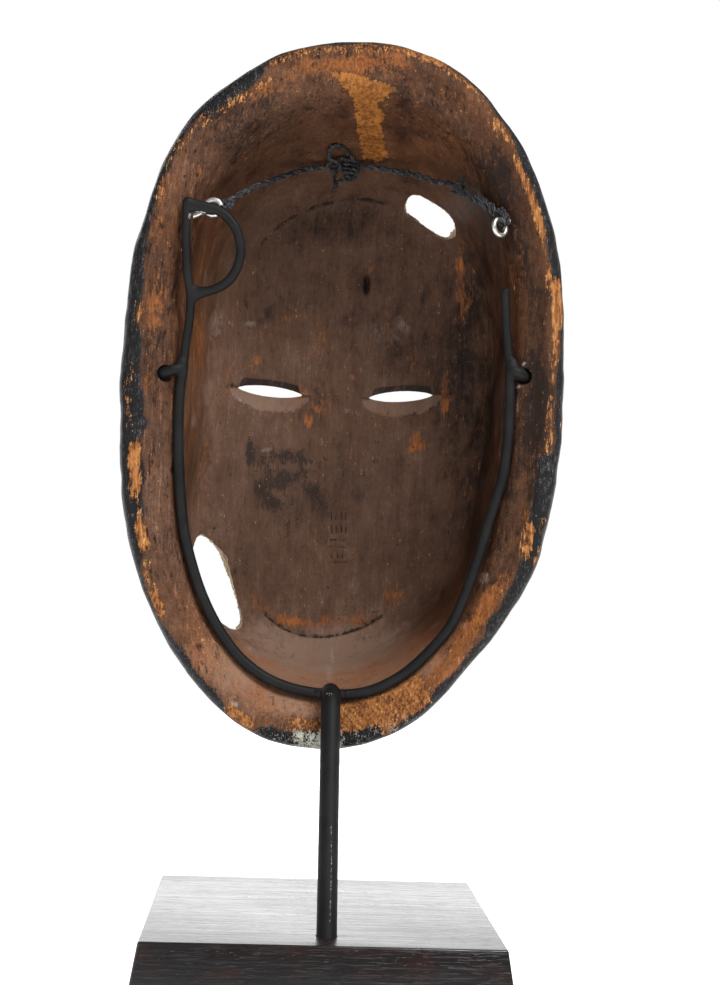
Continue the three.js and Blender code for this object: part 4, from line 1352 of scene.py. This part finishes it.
    "tooled": (378, 708, 50, 17, -14, 1),
    "lively": (330, 662, 115, 34, 0),
    # The cut line round the floor, with soot inside it and a paler strip outside it: in mm out from the edge,
    # and their half widths
    "lineHalfWidth": 1.3,
    "sootAndShadeBeside": (-1.2, 1.3),
    "dustAndSheenBeside": (1.9, 1.2),
}


# Signed distance in pixels into an outline drawn on the photograph
def insideOutline(across, down, outline):
    inside = np.zeros(len(across), bool)
    edges = list(zip(outline, outline[1:] + outline[:1]))
    nearest = strokeDistance(across, down, edges)
    for (ax, ay), (bx, by) in edges:
        crosses = (ay > down) != (by > down)
        inside ^= crosses & (across < (bx - ax) * (down - ay) / (by - ay + 1e-9) + ax)
    return np.where(inside, nearest, -nearest)


def spotValues(across, down, spots):
    total = np.zeros(len(across))
    for spot in spots:
        total += spot[5] * spotMask(across, down, spot)
    return total


# How far each kind of surface reaches at each point of the mask
def markMask(piece):
    points = meshPoints(piece) / mm
    carved = kdtree.KDTree(len(carvedPoints))
    for i, p in enumerate(carvedPoints):
        carved.insert(p, i)
    carved.balance()
    level = np.array([carvedLevels[carved.find(p * mm)[1]] for p in points])
    hollowRings = sum(maskSize["ringCounts"]) - 1
    faceStart = hollowRings + maskSize["sideRings"] + 1
    hollow, face = level < hollowRings, level >= faceStart
    x, y, z = points[:, 0] - maskSize["x"], points[:, 1], points[:, 2] - maskSize["z"]
    theta = np.arctan2(z, x)
    degrees = np.degrees(theta) % 360
    inset = rimRadius(theta) - np.hypot(x, z)
    across, down = photoSpot(points)

    edge = np.interp(degrees, *np.array(maskMarks["paintEdge"]).T)
    paint = np.where(hollow, edge - inset, 8)
    bare = np.zeros(len(points))
    for start, end, near, far, strength in maskMarks["bareStrips"]:
        along = between(degrees, start - 2, start + 1.6, end - 1.6, end + 2)
        over = between(inset, near - 1.8, near + 1.6, far - 1.6, far + 1.8)
        bare = np.maximum(bare, strength * along * over)
    bare = np.where(hollow, bare, 0)
    cream = np.zeros(len(points))
    for start, end, depth, strength in maskMarks["creamRim"]:
        along = between(degrees, start - 1, start + 2, end - 2, end + 1)
        cream = np.maximum(cream, strength * along * smoothStep(depth + 2, depth - 3, inset))
    jaw = smoothStep(-0.35, -0.6, np.sin(theta))
    kaolin = np.where(hollow, cream, np.where(face, 1, np.maximum(0.45 * jaw, cream)))
    paint = np.where(face, -8, paint)

    spots = {}
    for name, outside in (("sootAndShade", 0), ("dustAndSheen", 0.12), ("flecks", 0), ("rubbed", 0.2), ("tones", 0)):
        spots[name] = np.where(hollow, spotValues(across, down, maskMarks[name]), outside)
    gold = np.where(hollow, insideOutline(across, down, maskMarks["goldPatch"]), -20)
    onFloor = hollow & (y < maskSize["floorZoneY"])
    fromEdge = np.hypot(x, z) - ringValue(maskSize["floor"], theta)
    topArc, lowArc = floorArcs(theta)
    line = onFloor * bump(fromEdge / maskMarks["lineHalfWidth"]) * (1.2 * topArc + lowArc)
    strokes = bump(scratchDistance(points) / scratchSize["darkHalfWidth"])
    line = np.maximum(line, onFloor * 0.85 * strokes)
    for name in ("sootAndShade", "dustAndSheen"):
        middle, halfWidth = maskMarks[name + "Beside"]
        spots[name] += onFloor * 0.3 * bump((fromEdge - middle) / halfWidth) * lowArc
    warmth = smoothStep(-80, -45, y) - spotValues(across, down, maskMarks["greyer"])
    warmth = np.where(hollow, np.clip(warmth, 0, 1), 0.5)
    tooled = np.where(hollow, spotMask(across, down, maskMarks["tooled"]), 0)
    foot, top = np.full(len(points), -1.0), np.full(len(points), -1.0)
    for u, v in eyePlaces(x, z):
        lidFoot, lidTop = lidValues(u, v)
        foot, top = np.maximum(foot, lidFoot), np.maximum(top, lidTop)
    beyond = ~hollow | (y > maskSize["lidZoneY"])
    foot[beyond] = top[beyond] = -1
    lively = smoothStep(-30, -6, y) * smoothStep(560, 470, across)
    lively = np.where(hollow, lively + 0.7 * spotMask(across, down, maskMarks["lively"]), 0.4)
    side = np.abs(x)
    lids = bump((np.hypot((side - eyeSize["x"]) / 24, (z - eyeSize["z"]) / 10) - 1) / 0.16)
    brows = smoothStep(5.8, 1.4, np.abs(z - browLine(side))) * between(side, 4, 8, 63, 69)
    bars = smoothStep(5.4, 1.6, np.abs(side - 13)) * between(z, 56.5, 60, 98, 101.5)
    bars += smoothStep(6, 2.2, side) * between(z, 41.5, 45, 105, 108.5)
    lips = smoothStep(1.4, 0.75, np.hypot(side / 20, (z + 72) / 8.5))
    cheek = sum(smoothStep(4.2, 0.5, np.abs(z + 6 + 8 * k)) for k in range(3))
    cheek = cheek * between(side, 60.5, 64.5, 74.5, 78.5)
    border = smoothStep(8, 4, faceOval(theta) - np.hypot(x, z))
    faceLine = np.where(face, np.clip(lids + brows + bars + lips + cheek + border, 0, 1), 0)

    kept = {
        "wear": (np.clip(paint, -8, 8) / 8, bare, kaolin),
        "marks": (spots["sootAndShade"], spots["dustAndSheen"], spots["flecks"] + spots["rubbed"]),
        "tones": (spots["tones"], line, warmth),
        "carving": (foot, top, lively),
        "extra": (gold / 20, faceLine, tooled),
    }
    for name, values in kept.items():
        keepValues(piece, name, "FLOAT_VECTOR", np.stack(values, 1))


markMask(mask)
print("mask marked")


# Material helpers

# Colours are written as on a screen, from 0 to 255
def screenColour(red, green, blue):
    shares = [value / 255 for value in (red, green, blue)]
    return (*[s / 12.92 if s <= 0.04045 else ((s + 0.055) / 1.055) ** 2.4 for s in shares], 1)


# The node tree that the helpers below add to
tree = None


def newMaterial(name):
    global tree
    material = bpy.data.materials.new(name)
    material.use_nodes = True
    tree = material.node_tree
    return material, tree.nodes["Principled BSDF"]


def setInput(node, name, value):
    if isinstance(value, bpy.types.NodeSocket):
        tree.links.new(value, node.inputs[name])
    else:
        node.inputs[name].default_value = value


def addNode(kind, inputs, **settings):
    node = tree.nodes.new("ShaderNode" + kind)
    for name, value in settings.items():
        setattr(node, name, value)
    for name, value in inputs.items():
        setInput(node, name, value)
    return node


def combine(operation, first, second=0.0, clamp=False):
    return addNode("Math", {0: first, 1: second}, operation=operation, use_clamp=clamp).outputs[0]


def rise(value, low, high):
    inputs = {"Value": value, "From Min": low, "From Max": high}
    return addNode("MapRange", inputs, interpolation_type="SMOOTHSTEP").outputs[0]


def mixColour(share, under, over):
    return addNode("Mix", {0: share, 6: under, 7: over}, data_type="RGBA").outputs[2]


def mixValue(share, under, over):
    return addNode("Mix", {0: share, 2: under, 3: over}, data_type="FLOAT").outputs[0]


def ownPlace():
    return addNode("TexCoord", {}).outputs["Object"]


# Noise from 0 to 1; the stretch is bumps to the metre along X, Y and Z
def speckle(place, stretch, detail=3.0, roughness=0.5, offset=(0, 0, 0)):
    spread = addNode("Mapping", {"Vector": place, "Scale": stretch, "Location": offset}).outputs[0]
    inputs = {"Vector": spread, "Scale": 1.0, "Detail": detail, "Roughness": roughness}
    return addNode("TexNoise", inputs).outputs["Fac"]


def pointValue(name):
    vector = addNode("Attribute", {}, attribute_name=name).outputs["Vector"]
    parts = addNode("SeparateXYZ", {"Vector": vector})
    return parts.outputs[0], parts.outputs[1], parts.outputs[2]


def finishShader(shader, colour, roughness, height, depth):
    setInput(shader, "Base Color", colour)
    setInput(shader, "Roughness", roughness)
    normal = addNode("Bump", {"Height": height, "Strength": 1.0, "Distance": depth * mm}).outputs[0]
    setInput(shader, "Normal", normal)


# Old carved wood of the mask: brown hollow, gold-brown patch, black paint, bare wood, kaolin and dirt

woodColours = {
    "dark": screenColour(34, 23, 17),
    "brown": screenColour(92, 66, 51),
    "light": screenColour(140, 113, 96),
    "warmDark": screenColour(34, 20, 13),
    "warm": screenColour(86, 54, 34),
    "warmLight": screenColour(148, 98, 66),
    "rubbed": screenColour(136, 78, 38),
    "rubbedLight": screenColour(168, 104, 54),
    "gold": screenColour(112, 66, 26),
    "goldLight": screenColour(178, 114, 54),
    "bare": screenColour(174, 114, 62),
    # Painted highlight on the bare wood
    "bareHighlight": screenColour(234, 180, 118),
    "bareRed": screenColour(116, 68, 36),
    "bareDark": screenColour(56, 38, 29),
    # Dust, and also the painted sheen and highlights of the hollow
    "dustAndSheen": screenColour(166, 154, 144),
    # Soot, and also the painted shade on the upper facets above the eye slits
    "sootAndShade": screenColour(24, 22, 23),
    "line": screenColour(20, 13, 10),
    "paint": screenColour(20, 19, 20),
    "paintWornAndSheen": screenColour(92, 92, 98),
    "kaolin": screenColour(198, 195, 180),
    "kaolinDirt": screenColour(130, 114, 94),
    "torn": screenColour(196, 176, 138),
    "tornDark": screenColour(120, 92, 62),
}


def around(source, share):
    swing = combine("MULTIPLY_ADD", source, share)
    swing.node.inputs[2].default_value = -share / 2
    return swing


# Sum of values; a value given with a share is noise, which swings about nothing by that much
def total(*parts):
    result = None
    for part in parts:
        part = around(*part) if isinstance(part, tuple) else part
        result = part if result is None else combine("ADD", result, part)
    return result


def scaled(value, *shares):
    for share in shares:
        value = combine("MULTIPLY", value, share)
    return value


# One of the wood's colours laid over another, in a share of full strength
def laidOver(colour, share, strength, name):
    return mixColour(scaled(share, strength), colour, woodColours[name])


# Two of the wood's colours, from the first to the second as a value rises between two bounds
def toned(value, low, high, first, second):
    return mixColour(rise(value, low, high), woodColours[first], woodColours[second])


# Values that are the same all over a surface, on the shader's own sockets
shaderInputs = {"colour": "Base Color", "roughness": "Roughness", "specular": "Specular IOR Level",
                "metal": "Metallic", "sheen": "Sheen Weight", "coat": "Coat Weight",
                "coatRoughness": "Coat Roughness", "glow": "Emission Color",
                "glowStrength": "Emission Strength"}


def setShader(shader, **values):
    for name, value in values.items():
        shader.inputs[shaderInputs[name]].default_value = value


def maskWood():
    material, shader = newMaterial("mask_carved_wood")
    place = ownPlace()
    paint, bare, kaolin = pointValue("wear")
    sootAndShade, dustAndSheen, rubbed = pointValue("marks")
    tone, line, warmth = pointValue("tones")
    gold, faceLine, tooled = pointValue("extra")
    lidFoot, lidTop, lively = pointValue("carving")
    broad = speckle(place, (30, 30, 22), 4, 0.6)
    cloudy = speckle(place, (110, 110, 80), 6, 0.65)
    blotch = speckle(place, (75, 75, 40), 5, 0.68, (9, 2, 3))
    ragged = speckle(place, (420, 420, 300), 5, 0.7, (3, 1, 7))
    fibre = speckle(place, (1050, 1050, 150), 5, 0.7, (1, 8, 2))
    fine = speckle(place, (1900, 1900, 1300), 3, 0.65)
    grain = speckle(place, (620, 620, 70), 5, 0.68)
    streak = speckle(place, (200, 200, 22), 5, 0.68, (5, 2, 1))
    nicks = speckle(place, (330, 330, 90), 4, 0.62, (6, 3, 4))
    scrapes = speckle(place, (520, 520, 60), 4, 0.6, (2, 9, 5))
    crackle = addNode("TexVoronoi", {"Vector": place, "Scale": 360.0}, feature="DISTANCE_TO_EDGE").outputs[0]

    # Old brown from dark to light, greyer on the floor and warmer on the walls and the rim
    small = total((grain, 0.55), (fine, 0.8), (ragged, 0.75), (fibre, 0.4))
    value = total(scaled(tone, 0.45), (broad, 0.95), (cloudy, 0.85), (streak, 0.5),
                  scaled(small, mixValue(lively, 0.75, 1.25)),
                  scaled(rise(nicks, 0.58, 0.68), lively, -0.5),
                  scaled(rise(scrapes, 0.57, 0.66), lively, 0.3))
    lidShare = rise(total(lidFoot, (ragged, 0.45), (cloudy, 0.35)), 0.0, 0.14)
    value = mixValue(lidShare, value, total(0.42, scaled(value, 0.5)))
    lower = rise(value, -0.55, 0.0)
    upper = rise(value, -0.1, 0.75)
    floor = mixColour(upper, mixColour(lower, woodColours["dark"], woodColours["brown"]),
                      woodColours["light"])
    wall = mixColour(upper, mixColour(lower, woodColours["warmDark"], woodColours["warm"]),
                     woodColours["warmLight"])
    warmer = combine("ADD", warmth, around(blotch, 1.8), clamp=True)
    colour = mixColour(warmer, floor, wall)

    # Rubbed reddish orange, in streaks and blotches
    rub = total(rubbed, (blotch, 1.9), (fibre, 1.1), (streak, 0.9), (ragged, 1.3), (fine, 0.4))
    rubColour = toned(fibre, 0.4, 0.65, "rubbed", "rubbedLight")
    colour = mixColour(scaled(rise(rub, 0.34, 0.9), 0.75), colour, rubColour)
    colour = laidOver(colour, rise(rub, 0.98, 1.12), 0.7, "rubbedLight")
    # Painted shade: the upper facet above each eye slit is darkened towards the soot colour
    shadowed = rise(total(lidTop, (ragged, 0.2), (cloudy, 0.3)), 0.0, 0.2)
    lidShadeColour = toned(total((cloudy, 1.2), (ragged, 1.2), (grain, 0.8)), 0.0, 0.5, "sootAndShade", "brown")
    colour = mixColour(scaled(shadowed, 0.85), colour, lidShadeColour)

    # Gold-brown patch with a ragged edge
    goldEdge = total(gold, (ragged, 0.8), (cloudy, 0.3), (fine, 0.3))
    goldTone = total((streak, 0.6), (ragged, 1.5), (cloudy, 0.8), (fine, 1.2))
    goldColour = toned(goldTone, -0.2, 0.25, "gold", "goldLight")
    goldRim = scaled(rise(goldEdge, -0.16, -0.03), 0.35)
    colour = mixColour(goldRim, colour, woodColours["warmDark"])
    colour = mixColour(scaled(rise(goldEdge, -0.02, 0.03), 0.95), colour, goldColour)

    # Dust with a painted sheen in places, soot, and the dark line where the floor meets the wall
    dustAndSheenShare = rise(total(dustAndSheen, (ragged, 1.1), (fibre, 0.7)), 0.18, 1.1)
    colour = laidOver(colour, dustAndSheenShare, 0.8, "dustAndSheen")
    sootNoise = total(sootAndShade, (ragged, 2.2), (blotch, 2.2), (cloudy, 1.0), (fibre, 1.4), (fine, 1.6))
    sootShare = rise(sootNoise, 0.44, 0.74)
    colour = laidOver(colour, sootShare, 0.74, "sootAndShade")
    lineShare = rise(total(line, (ragged, 2.0), (cloudy, 1.2), (fine, 0.6)), 0.45, 0.8)
    colour = laidOver(colour, lineShare, 0.85, "line")
    specks = rise(speckle(place, (800, 800, 800), 1, 0.4, (7, 7, 7)), 0.785, 0.82)
    colour = laidOver(colour, specks, 0.45, "dustAndSheen")
    pits = rise(speckle(place, (520, 520, 300), 2, 0.4, (2, 6, 1)), 0.735, 0.78)
    colour = laidOver(colour, pits, 0.75, "sootAndShade")

    # Kaolin, worn through in places, and its painted lines
    kaolinShare = rise(total(kaolin, (ragged, 1.3), (cloudy, 0.6), (fine, 1.3)), 0.42, 0.54)
    chalk = toned(total((cloudy, 1.0), (fine, 0.6)), 0.0, 0.45, "kaolin", "kaolinDirt")
    drawn = rise(total(faceLine, (ragged, 0.7)), 0.42, 0.58)

    # Black paint of the rim and the hair; under and through it the bare wood shows orange
    painted = rise(total(paint, (cloudy, 0.4), (ragged, 0.8), (fibre, 1.0), (fine, 0.5)), -0.03, 0.04)
    # Grey-blue streaks on the black paint: partly worn paint, partly painted sheen
    sheen = total((fibre, 1.6), (fine, 1.2), (ragged, 1.1), (streak, 0.6))
    coat = toned(sheen, 0.0, 0.55, "paint", "paintWornAndSheen")
    strip = total(bare, (cloudy, 0.7), (ragged, 1.4), (fibre, 2.2), (grain, 0.8), (fine, 1.2))
    stripped = rise(total(strip, scaled(tooled, 0.1)), 0.48, 0.64)
    rawTone = total((fibre, 1.5), (ragged, 1.3), (cloudy, 1.0))
    rawWood = toned(rawTone, -0.22, 0.22, "bareRed", "bare")
    rawDark = rise(total((grain, 1.4), (ragged, 1.3), (fine, 1.0)), 0.12, 0.34)
    rawWood = laidOver(rawWood, rawDark, 0.75, "bareDark")
    chisel = addNode("TexWave", {"Vector": addNode("Mapping", {
        "Vector": place, "Rotation": (0, math.radians(-40), 0)}).outputs[0],
        "Scale": 112.0, "Distortion": 3.5, "Detail": 3.0, "Detail Scale": 1.1}).outputs["Fac"]
    # Painted highlights on the bare wood: light flecks along its fibres and light bands along the ridges of
    # the chisel marks
    paintedHighlights = total((fibre, 1.3), (fine, 1.0), (ragged, 0.6), scaled(chisel, tooled, 0.36),
                   scaled(tooled, -0.3))
    rawWood = mixColour(rise(paintedHighlights, 0.1, 0.42), rawWood, woodColours["bareHighlight"])
    colour = mixColour(painted, colour, coat)
    colour = mixColour(stripped, colour, rawWood)
    colour = mixColour(kaolinShare, colour, chalk)
    colour = mixColour(drawn, colour, woodColours["paint"])

    roughness = mixValue(rise(total((cloudy, 1.0), (fine, 0.6)), -0.3, 0.3), 0.42, 0.68)
    roughness = mixValue(painted, roughness, 0.5)
    roughness = mixValue(stripped, roughness, 0.7)
    roughness = mixValue(kaolinShare, roughness, 0.88)
    height = total((grain, 0.6), (cloudy, 0.7), (ragged, 0.7), (fibre, 0.5), (fine, 0.3),
                   scaled(painted, 0.3), scaled(stripped, -0.45), scaled(kaolinShare, 0.35),
                   scaled(chisel, tooled, 0.8), scaled(pits, -0.5))
    cracks = scaled(rise(crackle, 0.10, 0.0), combine("MAXIMUM", painted, kaolinShare))
    height = combine("SUBTRACT", height, scaled(cracks, 0.25))
    finishShader(shader, colour, roughness, height, 0.7)
    setShader(shader, specular=0.18)
    return material


# Raw wood in the broken edges
def tornWood():
    material, shader = newMaterial("mask_torn_wood")
    place = ownPlace()
    fibre = speckle(place, (900, 900, 160), 5, 0.7)
    cloudy = speckle(place, (160, 160, 110), 4, 0.6)
    colour = toned(fibre, 0.35, 0.65, "tornDark", "torn")
    colour = laidOver(colour, rise(cloudy, 0.5, 0.7), 0.7, "dark")
    finishShader(shader, colour, 0.8, fibre, 0.5)
    setShader(shader, specular=0.2)
    return material


# Black finish of the steel, with scratches, a painted highlight along the stem, and specks

steelColours = {
    "black": screenColour(16, 16, 17),
    "grey": screenColour(27, 26, 27),
    "speck": screenColour(62, 59, 57),
    "scratchAndHighlight": screenColour(150, 142, 136),
    "bright": screenColour(205, 205, 205),
}


def steelFinish():
    material, shader = newMaterial("blackened_steel")
    place = ownPlace()
    cloudy = speckle(place, (90, 90, 60), 4, 0.6)
    fine = speckle(place, (1700, 1700, 1700), 4, 0.7)
    scratchAndHighlight, silver, _ = pointValue("rubbed")
    dots = speckle(place, (900, 900, 500), 3, 0.7)
    colour = mixColour(rise(cloudy, 0.35, 0.7), steelColours["black"], steelColours["grey"])
    colour = mixColour(scaled(rise(fine, 0.6, 0.8), 0.25), colour, steelColours["speck"])
    # Pale scratches, and the painted highlight along the stem
    pale = rise(scaled(scratchAndHighlight, dots), 0.46, 0.56)
    bright = rise(scaled(silver, dots), 0.40, 0.55)
    colour = mixColour(pale, colour, steelColours["scratchAndHighlight"])
    colour = mixColour(bright, colour, steelColours["bright"])
    roughness = mixValue(cloudy, 0.5, 0.66)
    finishShader(shader, colour, roughness, total((fine, 1.0), (cloudy, 1.0)), 0.06)
    setInput(shader, "Metallic", mixValue(bright, 0.0, 0.9))
    setShader(shader, specular=0.2)
    return material


# Marks on the steel: a pale line along the stem, partly scratches and partly a painted highlight, a rubbed
# spot at its top, and specks by the loop's end
steelMarkSize = {
    "stemLine": [(331, 822), (331.5, 860), (330.5, 900), (330, 922)],
    "stemTop": (329, 694, 6, 2.5, 10, 1),
    "loopSpecks": [(197, 213, 6, 2, -8, 1.4), (189.5, 217, 2, 4, 0, .75), (205, 213.5, 3, 1.4, 0, 1)],
    "halfWidth": 1.3,
}


def markSteel(piece):
    points = meshPoints(piece) / mm
    towards = meshNormals(piece)[:, 1] > 0.1
    across, down = photoSpot(points)
    rows = steelMarkSize["stemLine"]
    near = strokeDistance(across, down, list(zip(rows, rows[1:])))
    scratchAndHighlight = np.where(towards, bump(near / steelMarkSize["halfWidth"]), 0)
    scratchAndHighlight += np.where(towards, spotMask(across, down, steelMarkSize["stemTop"]), 0)
    silver = np.where(towards, spotValues(across, down, steelMarkSize["loopSpecks"]), 0)
    keepValues(piece, "rubbed", "FLOAT_VECTOR", np.stack([scratchAndHighlight, silver, np.zeros(len(points))], 1))


def zincFinish():
    material, shader = newMaterial("zinc_plate")
    place = ownPlace()
    worn = speckle(place, (500, 500, 500), 4, 0.6)
    colour = mixColour(rise(worn, 0.45, 0.75), screenColour(222, 221, 217), screenColour(150, 147, 138))
    finishShader(shader, colour, mixValue(worn, 0.3, 0.5), worn, 0.04)
    setShader(shader, metal=1.0)
    return material


# Black dyed cord: fibres run along each ply of its twist, and the pale fibres are partly a painted highlight
cordColours = {"dye": screenColour(7, 7, 9), "fibre": screenColour(158, 161, 166),
               "faded": screenColour(84, 78, 72)}


def cordFibre():
    material, shader = newMaterial("black_twine")
    along = addNode("UVMap", {}, uv_map="alongCord").outputs[0]
    spread = addNode("Mapping", {"Vector": along, "Scale": (300, 34, 1)}).outputs[0]
    fibre = addNode("TexNoise", {"Vector": spread, "Scale": 1.0, "Detail": 4.0, "Roughness": 0.65}).outputs[0]
    place = ownPlace()
    faded = speckle(place, (130, 130, 130), 3, 0.6)
    colour = mixColour(rise(fibre, 0.50, 0.70), cordColours["dye"], cordColours["fibre"])
    colour = mixColour(scaled(rise(faded, 0.5, 0.75), 0.5), colour, cordColours["faded"])
    finishShader(shader, colour, 0.78, fibre, 0.6)
    setShader(shader, roughness=0.78, sheen=0.05, specular=0.25)
    return material


# Dark stained hardwood of the base: grain along X, with open pores
baseColours = {"dark": screenColour(8, 6, 6), "light": screenColour(23, 17, 17),
               "reddish": screenColour(50, 20, 17), "pore": screenColour(92, 86, 84)}


def baseWood():
    material, shader = newMaterial("dark_stained_hardwood")
    place = ownPlace()
    grain = speckle(place, (14, 420, 330), 5, 0.66)
    figure = speckle(place, (7, 90, 80), 4, 0.62, (2, 0, 5))
    pores = speckle(place, (260, 2400, 2100), 2, 0.5, (0, 4, 2))
    streaks = rise(speckle(place, (60, 1700, 1500), 3, 0.6, (3, 1, 8)), 0.58, 0.68)
    mottled = speckle(place, (40, 60, 90), 4, 0.6)
    tone = total((grain, 1.1), (figure, 0.8))
    colour = mixColour(rise(tone, -0.35, 0.35), baseColours["dark"], baseColours["light"])
    reddish = scaled(rise(total((mottled, 1.4), (grain, 0.8)), -0.05, 0.4), 0.62)
    colour = mixColour(reddish, colour, baseColours["reddish"])
    openPores = rise(pores, 0.66, 0.72)
    colour = mixColour(scaled(openPores, 0.35), colour, baseColours["pore"])
    roughness = mixValue(rise(tone, -0.3, 0.3), 0.34, 0.2)
    roughness = mixValue(streaks, roughness, 0.46)
    roughness = mixValue(openPores, roughness, 0.6)
    height = total((grain, 1.0), (figure, 0.3), scaled(openPores, -0.5), scaled(streaks, -0.6))
    finishShader(shader, colour, roughness, height, 0.2)
    setShader(shader, specular=0.5, coat=0.24, coatRoughness=0.18)
    return material


def dress(pieces, material):
    for piece in pieces:
        piece.data.materials.clear()
        piece.data.materials.append(material)


markSteel(steel)
mask.data.materials[0], mask.data.materials[1] = maskWood(), tornWood()
for spare in ("carved_wood", "torn_wood"):
    bpy.data.materials.remove(bpy.data.materials[spare])
dress([steel], steelFinish())
dress([base], baseWood())
dress(eyelets, zincFinish())
dress([cord, knots, frays], cordFibre())
print("materials made")


# Floor, lights and white surroundings

studioSize = {
    "floorSide": 3.2,
    "floorZ": -0.0005,
    "key": {"place": (-0.8, 1.08, 1.7), "aim": (0, 0, 0.30), "size": (1.0, 0.7), "power": 38},
    "fill": {"place": (0.95, 1.05, 0.45), "aim": (0, 0, 0.28), "size": (0.8, 0.8), "power": 3},
    "back": {"place": (0, -0.95, 0.44), "aim": (0, 0, 0.40), "size": (3.0, 0.8), "power": 15.5},
    "face": {"place": (0.8, -1.25, 1.3), "aim": (0, 0, 0.28), "size": (0.8, 0.8), "power": 12},
    "surround": 0.22,
}


def addFloor():
    clearSelection()
    bpy.ops.mesh.primitive_plane_add(size=studioSize["floorSide"], location=(0, 0, studioSize["floorZ"]))
    floor = bpy.context.object
    floor.name = "studio_floor"
    settlePlace(floor)
    material, shader = newMaterial("white_sweep")
    setShader(shader, colour=(0.9, 0.9, 0.9, 1), roughness=0.7, glow=(1, 1, 1, 1), glowStrength=0.9)
    dress([floor], material)


def addLight(name):
    size = studioSize[name]
    clearSelection()
    bpy.ops.object.light_add(type="AREA", location=size["place"])
    light = bpy.context.object
    light.name = name + "_light"
    light.data.shape = "RECTANGLE"
    light.data.size, light.data.size_y = size["size"]
    light.data.energy = size["power"]
    light.visible_camera = False
    aim = Vector(size["aim"]) - Vector(size["place"])
    turnAlong(light, aim, "-Z")


def addSurroundings():
    global tree
    world = bpy.data.worlds.new("white_surroundings")
    bpy.context.scene.world = world
    world.use_nodes = True
    tree = world.node_tree
    background = tree.nodes["Background"]
    background.inputs["Color"].default_value = (1, 1, 1, 1)
    seen = addNode("LightPath", {}).outputs["Is Camera Ray"]
    setInput(background, "Strength", mixValue(seen, studioSize["surround"], 1.0))


addFloor()
for lightName in ("key", "fill", "back", "face"):
    addLight(lightName)
addSurroundings()
bpy.context.scene.view_settings.view_transform = "Standard"

print("scene ready")
